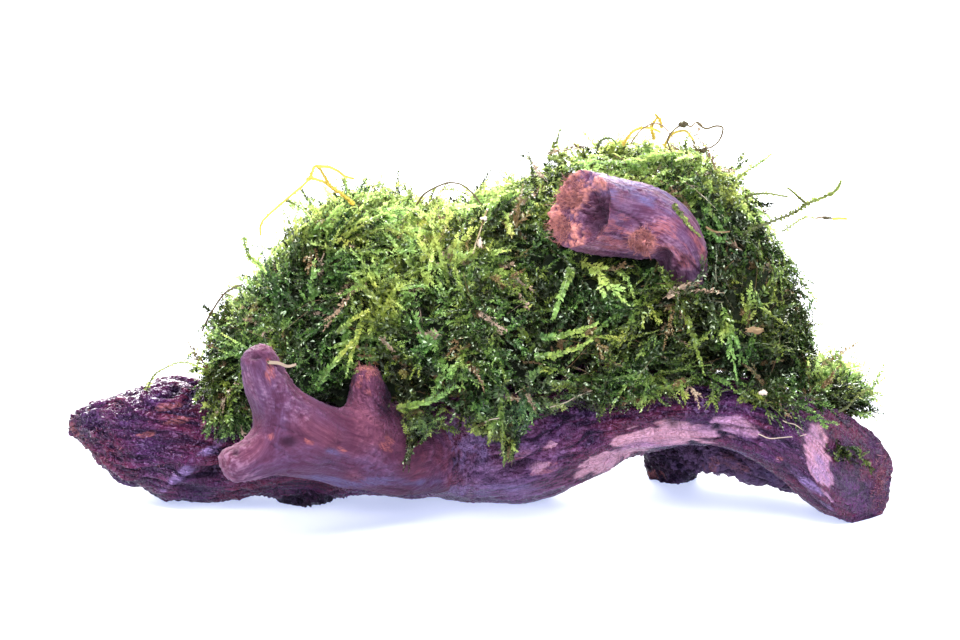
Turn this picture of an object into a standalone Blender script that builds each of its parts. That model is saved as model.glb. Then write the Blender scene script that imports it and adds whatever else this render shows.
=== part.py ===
"""Java moss grown over a forked piece of driftwood, at its real size.

Metres, +Z up. The wood lies along X, its front is -Y, and the origin is at the
middle of its footprint on the surface that it stands on.

The wood is split where it forks: a trunk with a blunt left limb, an arched right
limb that ends in a sliced foot, a rear limb on a short leg, a forked branch that
reaches forward, and a cut branch that rises through the moss. Each limb is a loft
of unlike oval sections along a smooth path. A limb that springs from another is
cut back from it by a hair's breadth, and what touches the ground is cut flat.

The moss is two mounds that meet at a saddle, a thin toe over the foot, and tufts
that hang over the wood. Each is a closed lumpy loft that reaches the tips of its
shoots, with its underside cut to the wood.
"""

import math
from collections import namedtuple

import bmesh
import bpy
from mathutils import Vector, noise

# The middle of the footprint, in the coordinates that the stations below use
FOOTPRINT_MIDDLE = Vector((-0.0011, -0.0060, 0.0))

# Spaces left between neighbours
WOOD_GAP = 0.0003
MOSS_GAP = 0.0004
BRANCH_CLEARANCE = 0.0015

# Sides of a section, its squareness (2 is an oval), the height of its long ridges
# and of its lumps as shares of its radius, whether its ends are cut blunt, and
# whether every section stands upright across X instead of across its path. An
# upright section leans back and narrows towards its top, by these shares.
Section = namedtuple("Section", "sides squareness ridge lump blunt upright lean taper")
LIMB = Section(14, 2.0, 1.0, 0.0, False, False, 0.0, 0.0)
CUT_LIMB = Section(14, 2.0, 1.0, 0.0, True, False, 0.0, 0.0)
TWIG = Section(10, 2.0, 1.0, 0.0, False, False, 0.0, 0.0)
MOUND = Section(26, 2.4, 0.0, 0.12, False, True, 0.20, 0.22)
TUFT = Section(12, 2.2, 0.0, 0.12, False, False, 0.0, 0.0)
RINGS_PER_SPAN = 2
LUMPS_PER_METRE = 62.0

# Each station of a limb: x, y, z, half width across, half height
TRUNK = (
    (-0.034, 0.002, 0.0130, 0.0130, 0.0110),
    (-0.022, 0.002, 0.0150, 0.0170, 0.0144),
    (-0.008, 0.002, 0.0165, 0.0195, 0.0166),
    (0.006, 0.002, 0.0172, 0.0205, 0.0176),
    (0.018, 0.002, 0.0196, 0.0195, 0.0162),
    (0.029, 0.002, 0.0240, 0.0165, 0.0118),
    (0.038, 0.002, 0.0262, 0.0110, 0.0080),
)
LEFT_LIMB = (
    (-0.1010, 0.006, 0.0166, 0.0032, 0.0030),
    (-0.0960, 0.006, 0.0172, 0.0090, 0.0054),
    (-0.0870, 0.005, 0.0158, 0.0140, 0.0102),
    (-0.0775, 0.004, 0.0152, 0.0170, 0.0134),
    (-0.0680, 0.004, 0.0136, 0.0175, 0.0138),
    (-0.0560, 0.003, 0.0128, 0.0165, 0.0114),
    (-0.0400, 0.002, 0.0122, 0.0150, 0.0104),
    (-0.0220, 0.001, 0.0140, 0.0130, 0.0100),
)
ARCH = (
    (0.010, -0.003, 0.0180, 0.0120, 0.0110),
    (0.022, -0.005, 0.0206, 0.0145, 0.0120),
    (0.036, -0.008, 0.0236, 0.0130, 0.0096),
    (0.051, -0.011, 0.0258, 0.0125, 0.0088),
    (0.065, -0.012, 0.0242, 0.0125, 0.0092),
    (0.077, -0.014, 0.0192, 0.0128, 0.0106),
    (0.087, -0.015, 0.0132, 0.0128, 0.0120),
    (0.094, -0.016, 0.0098, 0.0116, 0.0116),
    (0.100, -0.016, 0.0086, 0.0088, 0.0094),
)
REAR_LIMB = (
    (0.026, 0.011, 0.0240, 0.0100, 0.0090),
    (0.040, 0.016, 0.0225, 0.0095, 0.0112),
    (0.052, 0.016, 0.0178, 0.0080, 0.0124),
    (0.064, 0.011, 0.0138, 0.0065, 0.0110),
    (0.075, 0.004, 0.0104, 0.0060, 0.0088),
    (0.085, -0.004, 0.0088, 0.0060, 0.0080),
)
REAR_LEG = (
    (0.0500, 0.0180, 0.0160, 0.0076, 0.0066),
    (0.0497, 0.0190, 0.0080, 0.0076, 0.0064),
    (0.0493, 0.0195, 0.0030, 0.0070, 0.0056),
    (0.0490, 0.0195, -0.0006, 0.0056, 0.0044),
)
ROOT_KNOB = (
    (-0.0430, -0.001, 0.0100, 0.0064, 0.0064),
    (-0.0432, -0.002, 0.0050, 0.0064, 0.0062),
    (-0.0434, -0.002, 0.0015, 0.0058, 0.0054),
    (-0.0434, -0.002, -0.0006, 0.0044, 0.0038),
)
UPPER_BRANCH = (
    (0.0450, 0.006, 0.0240, 0.0080, 0.0080),
    (0.0456, 0.003, 0.0369, 0.0066, 0.0064),
    (0.0470, -0.007, 0.0504, 0.0054, 0.0056),
    (0.0480, -0.014, 0.0606, 0.0054, 0.0058),
    (0.0466, -0.0172, 0.0670, 0.0064, 0.0068),
    (0.0426, -0.0175, 0.0708, 0.0076, 0.0078),
    (0.0368, -0.0178, 0.0728, 0.0084, 0.0084),
    (0.0290, -0.0215, 0.0747, 0.0088, 0.0086),
    (0.0228, -0.0272, 0.0770, 0.0088, 0.0086),
)
FORK_BEAM = (
    (-0.0120, -0.012, 0.0150, 0.0090, 0.0105),
    (-0.0200, -0.020, 0.0165, 0.0085, 0.0095),
    (-0.0285, -0.028, 0.0198, 0.0078, 0.0088),
    (-0.0360, -0.034, 0.0230, 0.0072, 0.0084),
    (-0.0430, -0.038, 0.0260, 0.0064, 0.0078),
    (-0.0480, -0.041, 0.0276, 0.0046, 0.0056),
)
UPPER_PRONG = (
    (-0.0400, -0.036, 0.0260, 0.0068, 0.0060),
    (-0.0452, -0.040, 0.0335, 0.0062, 0.0052),
    (-0.0480, -0.043, 0.0395, 0.0048, 0.0045),
    (-0.0496, -0.045, 0.0445, 0.0040, 0.0041),
    (-0.0503, -0.046, 0.0470, 0.0036, 0.0038),
)
LOWER_PRONG = (
    (-0.0435, -0.038, 0.0250, 0.0050, 0.0054),
    (-0.0490, -0.042, 0.0232, 0.0042, 0.0045),
    (-0.0530, -0.045, 0.0222, 0.0038, 0.0040),
    (-0.0560, -0.047, 0.0216, 0.0036, 0.0038),
)
SIDE_STUB = (
    (-0.0235, -0.023, 0.0190, 0.0066, 0.0066),
    (-0.0250, -0.026, 0.0270, 0.0056, 0.0054),
    (-0.0260, -0.028, 0.0340, 0.0042, 0.0046),
    (-0.0264, -0.029, 0.0390, 0.0030, 0.0034),
)

# The foot of the arch is sliced obliquely: a point of the slice and its outward side
FOOT_SLICE_POINT = Vector((0.0842, -0.0215, 0.0120))
FOOT_SLICE_NORMAL = Vector((0.64, -0.74, 0.20)).normalized()

# Stations of the moss, in the same five numbers
LEFT_MOUND = (
    (-0.0655, 0.001, 0.0360, 0.0050, 0.0040),
    (-0.0630, 0.001, 0.0375, 0.0140, 0.0095),
    (-0.0550, 0.002, 0.0395, 0.0225, 0.0165),
    (-0.0450, 0.003, 0.0430, 0.0275, 0.0235),
    (-0.0330, 0.004, 0.0460, 0.0310, 0.0280),
    (-0.0200, 0.004, 0.0460, 0.0330, 0.0275),
    (-0.0090, 0.004, 0.0455, 0.0320, 0.0265),
    (-0.0010, 0.004, 0.0450, 0.0270, 0.0225),
)
RIGHT_MOUND = (
    (-0.0120, 0.004, 0.0460, 0.0270, 0.0215),
    (-0.0040, 0.004, 0.0465, 0.0320, 0.0262),
    (0.0060, 0.004, 0.0490, 0.0330, 0.0275),
    (0.0170, 0.005, 0.0535, 0.0320, 0.0285),
    (0.0300, 0.006, 0.0570, 0.0305, 0.0290),
    (0.0440, 0.007, 0.0585, 0.0300, 0.0293),
    (0.0550, 0.006, 0.0565, 0.0290, 0.0290),
    (0.0640, 0.004, 0.0505, 0.0270, 0.0255),
    (0.0715, 0.002, 0.0450, 0.0230, 0.0210),
    (0.0765, 0.000, 0.0420, 0.0170, 0.0160),
    (0.0790, -0.001, 0.0400, 0.0080, 0.0080),
)
MOSS_TOE = (
    (0.0740, -0.004, 0.0300, 0.0150, 0.0080),
    (0.0800, -0.005, 0.0280, 0.0180, 0.0090),
    (0.0860, -0.006, 0.0262, 0.0170, 0.0082),
    (0.0900, -0.007, 0.0246, 0.0120, 0.0062),
    (0.0918, -0.008, 0.0235, 0.0060, 0.0036),
)
LEFT_DRAPE = (
    (-0.0560, -0.005, 0.0400, 0.0090, 0.0090),
    (-0.0575, -0.012, 0.0330, 0.0085, 0.0075),
    (-0.0585, -0.016, 0.0260, 0.0065, 0.0055),
    (-0.0585, -0.017, 0.0205, 0.0030, 0.0030),
)
FRONT_TUFT_LEFT = (
    (-0.0160, -0.022, 0.0390, 0.0100, 0.0080),
    (-0.0155, -0.026, 0.0320, 0.0085, 0.0065),
    (-0.0150, -0.028, 0.0250, 0.0060, 0.0045),
    (-0.0145, -0.029, 0.0195, 0.0025, 0.0025),
)
FRONT_TUFT_RIGHT = (
    (0.0080, -0.022, 0.0400, 0.0130, 0.0085),
    (0.0080, -0.026, 0.0320, 0.0120, 0.0070),
    (0.0080, -0.027, 0.0250, 0.0085, 0.0050),
    (0.0075, -0.026, 0.0185, 0.0035, 0.0030),
)

# Colours are linear red, green, blue, each with its roughness
WET_WOOD = ((0.105, 0.030, 0.034), 0.35)
SMOOTH_BRANCH = ((0.190, 0.070, 0.066), 0.45)
DARK_BARK = ((0.030, 0.012, 0.014), 0.50)
BRIGHT_MOSS = ((0.110, 0.230, 0.030), 0.60)
DEEP_MOSS = ((0.040, 0.110, 0.020), 0.60)

# Each limb: name, stations, section, material, the limbs that it springs from
LIMBS = (
    ("driftwood_trunk", TRUNK, LIMB, "wet_wood", ()),
    ("driftwood_left_limb", LEFT_LIMB, LIMB, "wet_wood", ("driftwood_trunk",)),
    ("driftwood_arch", ARCH, CUT_LIMB, "wet_wood", ("driftwood_trunk",)),
    ("driftwood_rear_limb", REAR_LIMB, LIMB, "dark_bark", ("driftwood_trunk", "driftwood_arch")),
    ("driftwood_rear_leg", REAR_LEG, TWIG, "dark_bark", ("driftwood_rear_limb",)),
    ("driftwood_root_knob", ROOT_KNOB, TWIG, "dark_bark", ("driftwood_left_limb",)),
    (
        "driftwood_upper_branch",
        UPPER_BRANCH,
        CUT_LIMB,
        "smooth_branch",
        ("driftwood_arch", "driftwood_rear_limb", "driftwood_trunk"),
    ),
    (
        "driftwood_fork_beam",
        FORK_BEAM,
        LIMB,
        "smooth_branch",
        ("driftwood_trunk", "driftwood_left_limb"),
    ),
    (
        "driftwood_fork_upper_prong",
        UPPER_PRONG,
        TWIG,
        "smooth_branch",
        ("driftwood_fork_beam",),
    ),
    (
        "driftwood_fork_lower_prong",
        LOWER_PRONG,
        TWIG,
        "smooth_branch",
        ("driftwood_fork_beam", "driftwood_fork_upper_prong"),
    ),
    (
        "driftwood_fork_side_stub",
        SIDE_STUB,
        TWIG,
        "smooth_branch",
        ("driftwood_fork_beam", "driftwood_trunk"),
    ),
)

# Each part of the moss: name, stations, section, material
MOSSES = (
    ("moss_left_mound", LEFT_MOUND, MOUND, "bright_moss"),
    ("moss_right_mound", RIGHT_MOUND, MOUND, "bright_moss"),
    ("moss_toe", MOSS_TOE, TUFT, "bright_moss"),
    ("moss_left_drape", LEFT_DRAPE, TUFT, "bright_moss"),
    ("moss_front_tuft_left", FRONT_TUFT_LEFT, TUFT, "deep_moss"),
    ("moss_front_tuft_right", FRONT_TUFT_RIGHT, TUFT, "deep_moss"),
)


def clear_scene():
    for thing in list(bpy.data.objects):
        bpy.data.objects.remove(thing)


def new_collection(name):
    collection = bpy.data.collections.new(name)
    bpy.context.scene.collection.children.link(collection)
    return collection


def finish_material(name, colour_and_roughness):
    colour, roughness = colour_and_roughness
    material = bpy.data.materials.new(name)
    material.use_nodes = True
    shader = material.node_tree.nodes["Principled BSDF"]
    shader.inputs["Base Color"].default_value = (*colour, 1.0)
    shader.inputs["Roughness"].default_value = roughness
    shader.inputs["Metallic"].default_value = 0.0
    return material


def curve_value(before, start, end, after, t):
    """The value at share t from start to end, on the Catmull-Rom curve through four."""
    return 0.5 * (
        2 * start
        + (end - before) * t
        + (2 * before - 5 * start + 4 * end - after) * t * t
        + (3 * start - before - 3 * end + after) * t * t * t
    )


def smooth_stations(stations, grow):
    """Points and half sizes close together on the smooth curve through the stations."""
    last = len(stations) - 1
    fine = []
    for i in range(last):
        four = (stations[max(i - 1, 0)], stations[i], stations[i + 1], stations[min(i + 2, last)])
        for step in range(RINGS_PER_SPAN):
            t = step / RINGS_PER_SPAN
            fine.append([curve_value(*(row[k] for row in four), t) for k in range(5)])
    fine.append(stations[last])
    points = [Vector(row[:3]) - FOOTPRINT_MIDDLE for row in fine]
    points[0] -= (points[1] - points[0]).normalized() * grow
    points[-1] += (points[-1] - points[-2]).normalized() * grow
    return points, [(row[3], row[4]) for row in fine]


def ring_frames(points, upright):
    """The two directions across the path at each point, carried along without twist."""
    last = len(points) - 1
    if upright:
        return [(Vector((0, -1, 0)), Vector((0, 0, 1)))] * (last + 1)
    frames = []
    across = None
    for i in range(last + 1):
        along = (points[min(i + 1, last)] - points[max(i - 1, 0)]).normalized()
        if across is None:
            steep = abs(along.z) > 0.8
            across = Vector((1, 0, 0)) if steep else along.cross(Vector((0, 0, 1)))
        across = (across - along * across.dot(along)).normalized()
        frames.append((across, across.cross(along)))
    return frames


def ridges(angle, share, seed):
    """The height of a limb's long ridges, as a share of its radius."""
    broad = 0.050 * math.cos(2 * angle + 1.7 * seed + 2.5 * share)
    ridge = 0.035 * math.cos(3 * angle + 2.9 * seed - 3.0 * share)
    fine = 0.022 * math.cos(5 * angle + 4.1 * seed + 5.0 * share)
    return broad + ridge + fine


def rounded(value, squareness):
    """A sine or cosine pushed outwards, so that an oval turns into a rounded box."""
    return math.copysign(abs(value) ** (2.0 / squareness), value)


def loft_mesh(name, stations, section, seed, grow):
    """Rings carried along the path, each grown by the same width, with closed ends."""
    points, sizes = smooth_stations(stations, grow)
    frames = ring_frames(points, section.upright)
    last = len(points) - 1
    build = bmesh.new()
    rings = []
    for i, (point, (wide, tall), (across, up)) in enumerate(zip(points, sizes, frames)):
        ring = []
        for k in range(section.sides):
            angle = 2 * math.pi * k / section.sides
            swell = 1.0 + section.ridge * ridges(angle, i / last, seed)
            height = rounded(math.sin(angle), section.squareness)
            breadth = rounded(math.cos(angle), section.squareness)
            breadth = wide * breadth * (1.0 - section.taper * height)
            side = across * (breadth - section.lean * tall * height)
            rise = up * (tall * height)
            spot = point + side + rise + FOOTPRINT_MIDDLE
            lump = noise.noise(spot * LUMPS_PER_METRE + Vector((seed, 0, 0)))
            offset = (side + rise) * (swell + section.lump * lump)
            ring.append(build.verts.new(point + offset + offset.normalized() * grow))
        rings.append(ring)
    for ring, following in zip(rings, rings[1:]):
        for k in range(section.sides):
            after = (k + 1) % section.sides
            build.faces.new((ring[k], ring[after], following[after], following[k]))
    for ring, point, inward, size in (
        (rings[0], points[0], points[1], sizes[0]),
        (rings[-1], points[-1], points[-2], sizes[-1]),
    ):
        if section.blunt:
            build.faces.new(ring)
            continue
        tip = build.verts.new(point + (point - inward).normalized() * min(size) * 0.5)
        for k in range(section.sides):
            build.faces.new((ring[k], ring[(k + 1) % section.sides], tip))
    bmesh.ops.recalc_face_normals(build, faces=build.faces)
    bmesh.ops.triangulate(build, faces=build.faces)
    mesh = bpy.data.meshes.new(name)
    build.to_mesh(mesh)
    build.free()
    return mesh


def place_object(name, mesh, collection):
    made = bpy.data.objects.new(name, mesh)
    collection.objects.link(made)
    return made


def as_cutter(made):
    made.hide_render = True
    made.display_type = "WIRE"
    return made


def slice_off(made, point, normal):
    """Cuts away what lies past a plane and closes the cut with one flat face."""
    build = bmesh.new()
    build.from_mesh(made.data)
    cut = bmesh.ops.bisect_plane(
        build,
        geom=list(build.verts) + list(build.edges) + list(build.faces),
        plane_co=point,
        plane_no=normal,
        clear_outer=True,
    )
    rim = [item for item in cut["geom_cut"] if isinstance(item, bmesh.types.BMEdge)]
    if rim:
        bmesh.ops.contextual_create(build, geom=rim)
    bmesh.ops.recalc_face_normals(build, faces=build.faces)
    build.to_mesh(made.data)
    build.free()


def body_of(start, unseen):
    """All the vertices that edges join to one vertex, taken out of the unseen ones."""
    body = {start}
    front = [start]
    while front:
        for edge in front.pop().link_edges:
            for vertex in edge.verts:
                if vertex in unseen:
                    unseen.discard(vertex)
                    body.add(vertex)
                    front.append(vertex)
    return body


def keep_largest_body(mesh):
    """Removes the crumbs that a cut left beside the main body."""
    build = bmesh.new()
    build.from_mesh(mesh)
    unseen = set(build.verts)
    bodies = []
    while unseen:
        bodies.append(body_of(unseen.pop(), unseen))
    bodies.sort(key=len)
    crumbs = [vertex for body in bodies[:-1] for vertex in body]
    bmesh.ops.delete(build, geom=crumbs, context="VERTS")
    bmesh.ops.triangulate(build, faces=build.faces)
    build.to_mesh(mesh)
    build.free()


def boxes_meet(one, other):
    """Whether the boxes round two objects' meshes overlap; both lie in world space."""
    spans = []
    for made in (one, other):
        corners = [vertex.co for vertex in made.data.vertices]
        spans.append([(min(c[k] for c in corners), max(c[k] for c in corners)) for k in range(3)])
    return all(a[0] < b[1] and b[0] < a[1] for a, b in zip(*spans))


def carve(made, cutters, solver):
    """Cuts the neighbours' grown shapes out of a piece and keeps its main body."""
    for cutter in cutters:
        if not boxes_meet(made, cutter):
            continue
        modifier = made.modifiers.new("clear of " + cutter.name, "BOOLEAN")
        modifier.operation = "DIFFERENCE"
        modifier.solver = solver
        modifier.object = cutter
    bpy.context.view_layer.update()
    graph = bpy.context.evaluated_depsgraph_get()
    carved = bpy.data.meshes.new_from_object(made.evaluated_get(graph))
    made.modifiers.clear()
    made.data = carved
    keep_largest_body(carved)


def dress(made, material):
    made.data.materials.append(material)
    made.data.shade_smooth()


def make_wood(parts, cutters, materials):
    """Makes every limb, and gives back the shapes that the moss keeps clear of."""
    grown = {}
    kept_clear = []
    for seed, (name, stations, section, finish, springs_from) in enumerate(LIMBS):
        made = place_object(name, loft_mesh(name, stations, section, seed, 0.0), parts)
        slice_off(made, Vector((0, 0, 0)), Vector((0, 0, -1)))
        if name == "driftwood_arch":
            slice_off(made, FOOT_SLICE_POINT - FOOTPRINT_MIDDLE, FOOT_SLICE_NORMAL)
        carve(made, [grown[other] for other in springs_from], "EXACT")
        dress(made, materials[finish])
        fit = loft_mesh(name + "_fit", stations, section, seed, WOOD_GAP)
        grown[name] = as_cutter(place_object(name + "_fit", fit, cutters))
        away = BRANCH_CLEARANCE if name == "driftwood_upper_branch" else MOSS_GAP
        clear = loft_mesh(name + "_clear", stations, section, seed, away)
        kept_clear.append(as_cutter(place_object(name + "_clear", clear, cutters)))
    return kept_clear


def make_moss(parts, cutters, materials, kept_clear):
    """Lays the mounds and tufts, each clear of the wood and of those laid before it."""
    # The lumpy faces graze the wood at shallow angles, where the exact solver fails
    for seed, (name, stations, section, finish) in enumerate(MOSSES):
        made = place_object(name, loft_mesh(name, stations, section, seed, 0.0), parts)
        carve(made, kept_clear, "MANIFOLD")
        dress(made, materials[finish])
        fit = loft_mesh(name + "_fit", stations, section, seed, MOSS_GAP)
        kept_clear.append(as_cutter(place_object(name + "_fit", fit, cutters)))


def main():
    clear_scene()
    parts = new_collection("java_moss_on_driftwood")
    cutters = new_collection("cutters")
    materials = {
        "wet_wood": finish_material("wet_wood", WET_WOOD),
        "smooth_branch": finish_material("smooth_branch", SMOOTH_BRANCH),
        "dark_bark": finish_material("dark_bark", DARK_BARK),
        "bright_moss": finish_material("bright_moss", BRIGHT_MOSS),
        "deep_moss": finish_material("deep_moss", DEEP_MOSS),
    }
    kept_clear = make_wood(parts, cutters, materials)
    make_moss(parts, cutters, materials, kept_clear)


main()
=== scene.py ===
"""The looks of java moss on driftwood: the wood's grain and scars, and every shoot of the moss.

All shapes are worked out in millimetres and go into the meshes in metres, so every length
here is in millimetres where nothing else is said. The wood lies along X with its front at
-Y, and the floor is z = 0, as in the frame.
"""

import logging
import math
from dataclasses import dataclass
from enum import Enum
from typing import ClassVar

import bpy
import numpy as np
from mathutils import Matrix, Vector
from mathutils.bvhtree import BVHTree


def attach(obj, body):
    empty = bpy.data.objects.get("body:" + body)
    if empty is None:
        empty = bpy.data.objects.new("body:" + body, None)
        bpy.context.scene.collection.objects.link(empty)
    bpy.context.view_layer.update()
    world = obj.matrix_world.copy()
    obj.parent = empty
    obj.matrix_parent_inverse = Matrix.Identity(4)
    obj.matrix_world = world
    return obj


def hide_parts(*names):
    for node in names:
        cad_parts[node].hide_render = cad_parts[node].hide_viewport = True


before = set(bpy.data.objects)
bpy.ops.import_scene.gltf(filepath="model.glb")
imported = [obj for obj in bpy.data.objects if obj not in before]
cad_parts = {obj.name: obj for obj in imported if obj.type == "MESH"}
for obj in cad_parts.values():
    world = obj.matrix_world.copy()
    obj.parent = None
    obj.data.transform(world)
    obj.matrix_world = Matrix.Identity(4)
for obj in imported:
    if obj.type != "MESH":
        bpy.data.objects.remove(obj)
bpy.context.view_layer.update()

Array = np.ndarray
Draws = np.random.Generator
Material = bpy.types.Material
Socket = bpy.types.NodeSocket
Row = tuple[float, ...]
Colour = tuple[float, float, float]

# A millimetre in the mesh's metres, and the photograph's size in pixels
MM = 0.001
PHOTO_SIZE = np.array((960, 640))
# The frame's origin in the coordinates of part.py
FOOTPRINT_MIDDLE = np.array((-1.1, -6.0, 0.0))
# How far limbs flow into each other, and the distances between which their shares change
BLEND = 2.2
WEIGHED = (-8.0, 40.0)

log = logging.getLogger("moss_on_driftwood")


# Numbers and noise


def unit(vectors: Array) -> Array:
    """Vectors at length one, along the last axis."""
    return vectors / np.maximum(np.linalg.norm(vectors, axis=-1, keepdims=True), 1e-9)


def dot(one: Array, other: Array) -> Array:
    """The scalar product along the last axis."""
    return (one * other).sum(-1)


def smooth_step(low: float, high: float, value: Array) -> Array:
    """0 below low, 1 above high, and 3t^2 - 2t^3 between them."""
    t = np.clip((value - low) / (high - low), 0.0, 1.0)
    return t * t * (3.0 - 2.0 * t)


class Noise:
    """Gradient noise: random slopes at whole-number points, blended by a quintic step."""

    def __init__(self, seed: int) -> None:
        """Draws the table of slopes; each seed has a pattern of its own."""
        rng = np.random.default_rng(seed)
        self.order = rng.permutation(256)
        self.slopes = unit(rng.normal(size=(256, 3)))

    def once(self, points: Array) -> Array:
        """The noise at points given in wavelengths, about -1 to 1."""
        cell = np.floor(points).astype(np.int64)
        part = points - cell
        ease = part**3 * (part * (part * 6.0 - 15.0) + 10.0)
        total = np.zeros(len(points))
        for corner in np.ndindex(2, 2, 2):
            spot = (cell + corner) & 255
            pick = self.order[(self.order[spot[:, 0]] + spot[:, 1]) & 255]
            slope = self.slopes[self.order[(pick + spot[:, 2]) & 255]]
            weight = np.prod(np.where(corner, ease, 1.0 - ease), axis=1)
            total += weight * dot(slope, part - corner)
        return total * 1.6

    def __call__(self, points: Array, wave: float | Row, octaves: int = 1) -> Array:
        """Sums octaves of noise, each at half the wavelength and half the height.

        Args:
            points: places, one a row.
            wave: the longest wavelength, one for all axes or one for each.
            octaves: how many are summed.

        Returns:
            One number for each point, about -1 to 1.
        """
        scaled = points / np.array(wave, float)
        return sum(0.5**k * self.once(scaled * 2.0**k + 17.0 * k) for k in range(octaves))


def through(stations: Array, share: Array) -> Array:
    """Rows on the Catmull-Rom curve through the stations.

    Args:
        stations: the rows that the curve goes through.
        share: where to read it, from 0 at the first station to 1 at the last.

    Returns:
        One row for each share.
    """
    last = len(stations) - 1
    spot = np.clip(share, 0.0, 1.0) * last
    i = np.minimum(spot.astype(int), last - 1)
    t = (spot - i)[:, None]
    before, start = stations[np.maximum(i - 1, 0)], stations[i]
    end, after = stations[i + 1], stations[np.minimum(i + 2, last)]
    bend = 2 * before - 5 * start + 4 * end - after
    turn = 3 * start - before - 3 * end + after
    return 0.5 * (2 * start + (end - before) * t + bend * t**2 + turn * t**3)


def table(stations: tuple[Row, ...]) -> Array:
    """The stations of part.py, moved to the frame's origin."""
    rows = np.array(stations, float)
    rows[:, :3] -= FOOTPRINT_MIDDLE
    return rows


def vertex_normals(points: Array, faces: Array) -> Array:
    """The mean normal of the triangles that meet at each point, weighted by area."""
    a, b, c = (points[faces[:, k]] for k in range(3))
    normal = np.cross(b - a, c - a)
    total = [
        sum(np.bincount(faces[:, k], normal[:, axis], len(points)) for k in range(3))
        for axis in range(3)
    ]
    return unit(np.stack(total, 1))


@dataclass
class Shape:
    """Triangles and what varies over them.

    Attributes:
        points: places.
        faces: three point numbers a row.
        traits: named numbers or vectors, one for each point.
    """

    points: Array
    faces: Array
    traits: dict[str, Array]

    @staticmethod
    def joined(shapes: list["Shape"]) -> "Shape":
        """All the shapes as one, which keep the traits of the first."""
        starts = np.cumsum([0] + [len(s.points) for s in shapes[:-1]])
        return Shape(
            np.concatenate([s.points for s in shapes]),
            np.concatenate([s.faces + start for s, start in zip(shapes, starts)]),
            {key: np.concatenate([s.traits[key] for s in shapes]) for key in shapes[0].traits},
        )


def closeness(away: Array, reach: float) -> Array:
    """A limb's share in what it flows into: exp(-distance / reach), more inside it than outside."""
    return np.exp(-np.clip(away, *WEIGHED) / reach)


def put(name: str, shape: Shape, material: Material, smooth: bool = True) -> bpy.types.Object:
    """Makes a mesh object of a shape, at the origin.

    Args:
        name: the piece's name.
        shape: its triangles.
        material: its finish.
        smooth: whether its faces are shaded smooth.

    Returns:
        The new object.
    """
    mesh = bpy.data.meshes.new(name)
    mesh.vertices.add(len(shape.points))
    mesh.vertices.foreach_set("co", (shape.points * MM).astype(np.float32).ravel())
    mesh.loops.add(shape.faces.size)
    mesh.loops.foreach_set("vertex_index", shape.faces.astype(np.int32).ravel())
    mesh.polygons.add(len(shape.faces))
    mesh.polygons.foreach_set("loop_start", np.arange(0, shape.faces.size, 3, dtype=np.int32))
    mesh.polygons.foreach_set("use_smooth", np.full(len(shape.faces), smooth))
    mesh.update(calc_edges=True)
    for key, values in shape.traits.items():
        kind, field = ("FLOAT", "value") if values.ndim == 1 else ("FLOAT_VECTOR", "vector")
        trait = mesh.attributes.new(key, kind, "POINT")
        trait.data.foreach_set(field, values.astype(np.float32).ravel())
    mesh.materials.append(material)
    made = bpy.data.objects.new(name, mesh)
    bpy.context.scene.collection.objects.link(made)
    return made


def keep(piece: bpy.types.Object, slot: str, *nodes: str) -> None:
    """Hands a piece to the frame and reports it.

    Args:
        piece: the finished object.
        slot: the material slot it takes its finish from; not used.
        nodes: the solids that it stands for.
    """
    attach(piece, "root")
    if nodes:
        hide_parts(*nodes)
    log.info("%s: %d triangles", piece.name, len(piece.data.polygons))


# The view of the photograph


def aimed(name: str, data: bpy.types.ID, place: Vector, target: Vector) -> bpy.types.Object:
    """Puts a camera or a light into the scene, turned to a target, both places in metres."""
    made = bpy.data.objects.new(name, data)
    made.location = place
    made.rotation_euler = (target - place).to_track_quat("-Z", "Y").to_euler()
    bpy.context.scene.collection.objects.link(made)
    return made


@dataclass(frozen=True)
class Viewpoint:
    """The place that the photograph was taken from.

    Attributes:
        position: where the camera stands.
        target: what it looks at.
        lens: its focal length.
        sensor: the width of its sensor.
    """

    position: Row = (1.1, -534.9, 160.3)
    target: Row = (1.1, 6.0, 45.3)
    lens: float = 85.0
    sensor: float = 36.0

    def axes(self) -> Array:
        """The directions to the right, up and ahead, one a row."""
        ahead = unit(np.array(self.target) - np.array(self.position))
        right = unit(np.cross(ahead, (0.0, 0.0, 1.0)))
        return np.stack([right, np.cross(right, ahead), ahead])

    def pixels_a_slope(self) -> float:
        """How many pixels a slope of one away from the view's middle spans."""
        return PHOTO_SIZE[0] * self.lens / self.sensor

    def project(self, points: Array) -> Array:
        """The pixel, in the photograph's frame, at which each point shows."""
        seen = (points - np.array(self.position)) @ self.axes().T
        slope = seen[:, :2] / seen[:, 2:]
        return PHOTO_SIZE / 2 + slope * self.pixels_a_slope() * (1, -1)

    def at_depth(self, spots: tuple[Row, ...]) -> Array:
        """Points behind pixels of the photograph.

        Args:
            spots: the pixel's two numbers and the point's y, one row a point.

        Returns:
            The points.
        """
        rows = np.array(spots, float)
        slope = (rows[:, :2] - PHOTO_SIZE / 2) / self.pixels_a_slope()
        right, up, ahead = self.axes()
        way = ahead + slope[:, :1] * right - slope[:, 1:2] * up
        reach = (rows[:, 2:3] - self.position[1]) / way[:, 1:2]
        return np.array(self.position) + way * reach

    def place_camera(self) -> None:
        """Sets the scene's camera."""
        data = bpy.data.cameras.new("camera")
        data.lens = self.lens
        data.sensor_width = self.sensor
        data.clip_start = 10.0 * MM
        eye, target = Vector(self.position) * MM, Vector(self.target) * MM
        bpy.context.scene.camera = aimed("camera", data, eye, target)


VIEW = Viewpoint()


# Finishes


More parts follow.
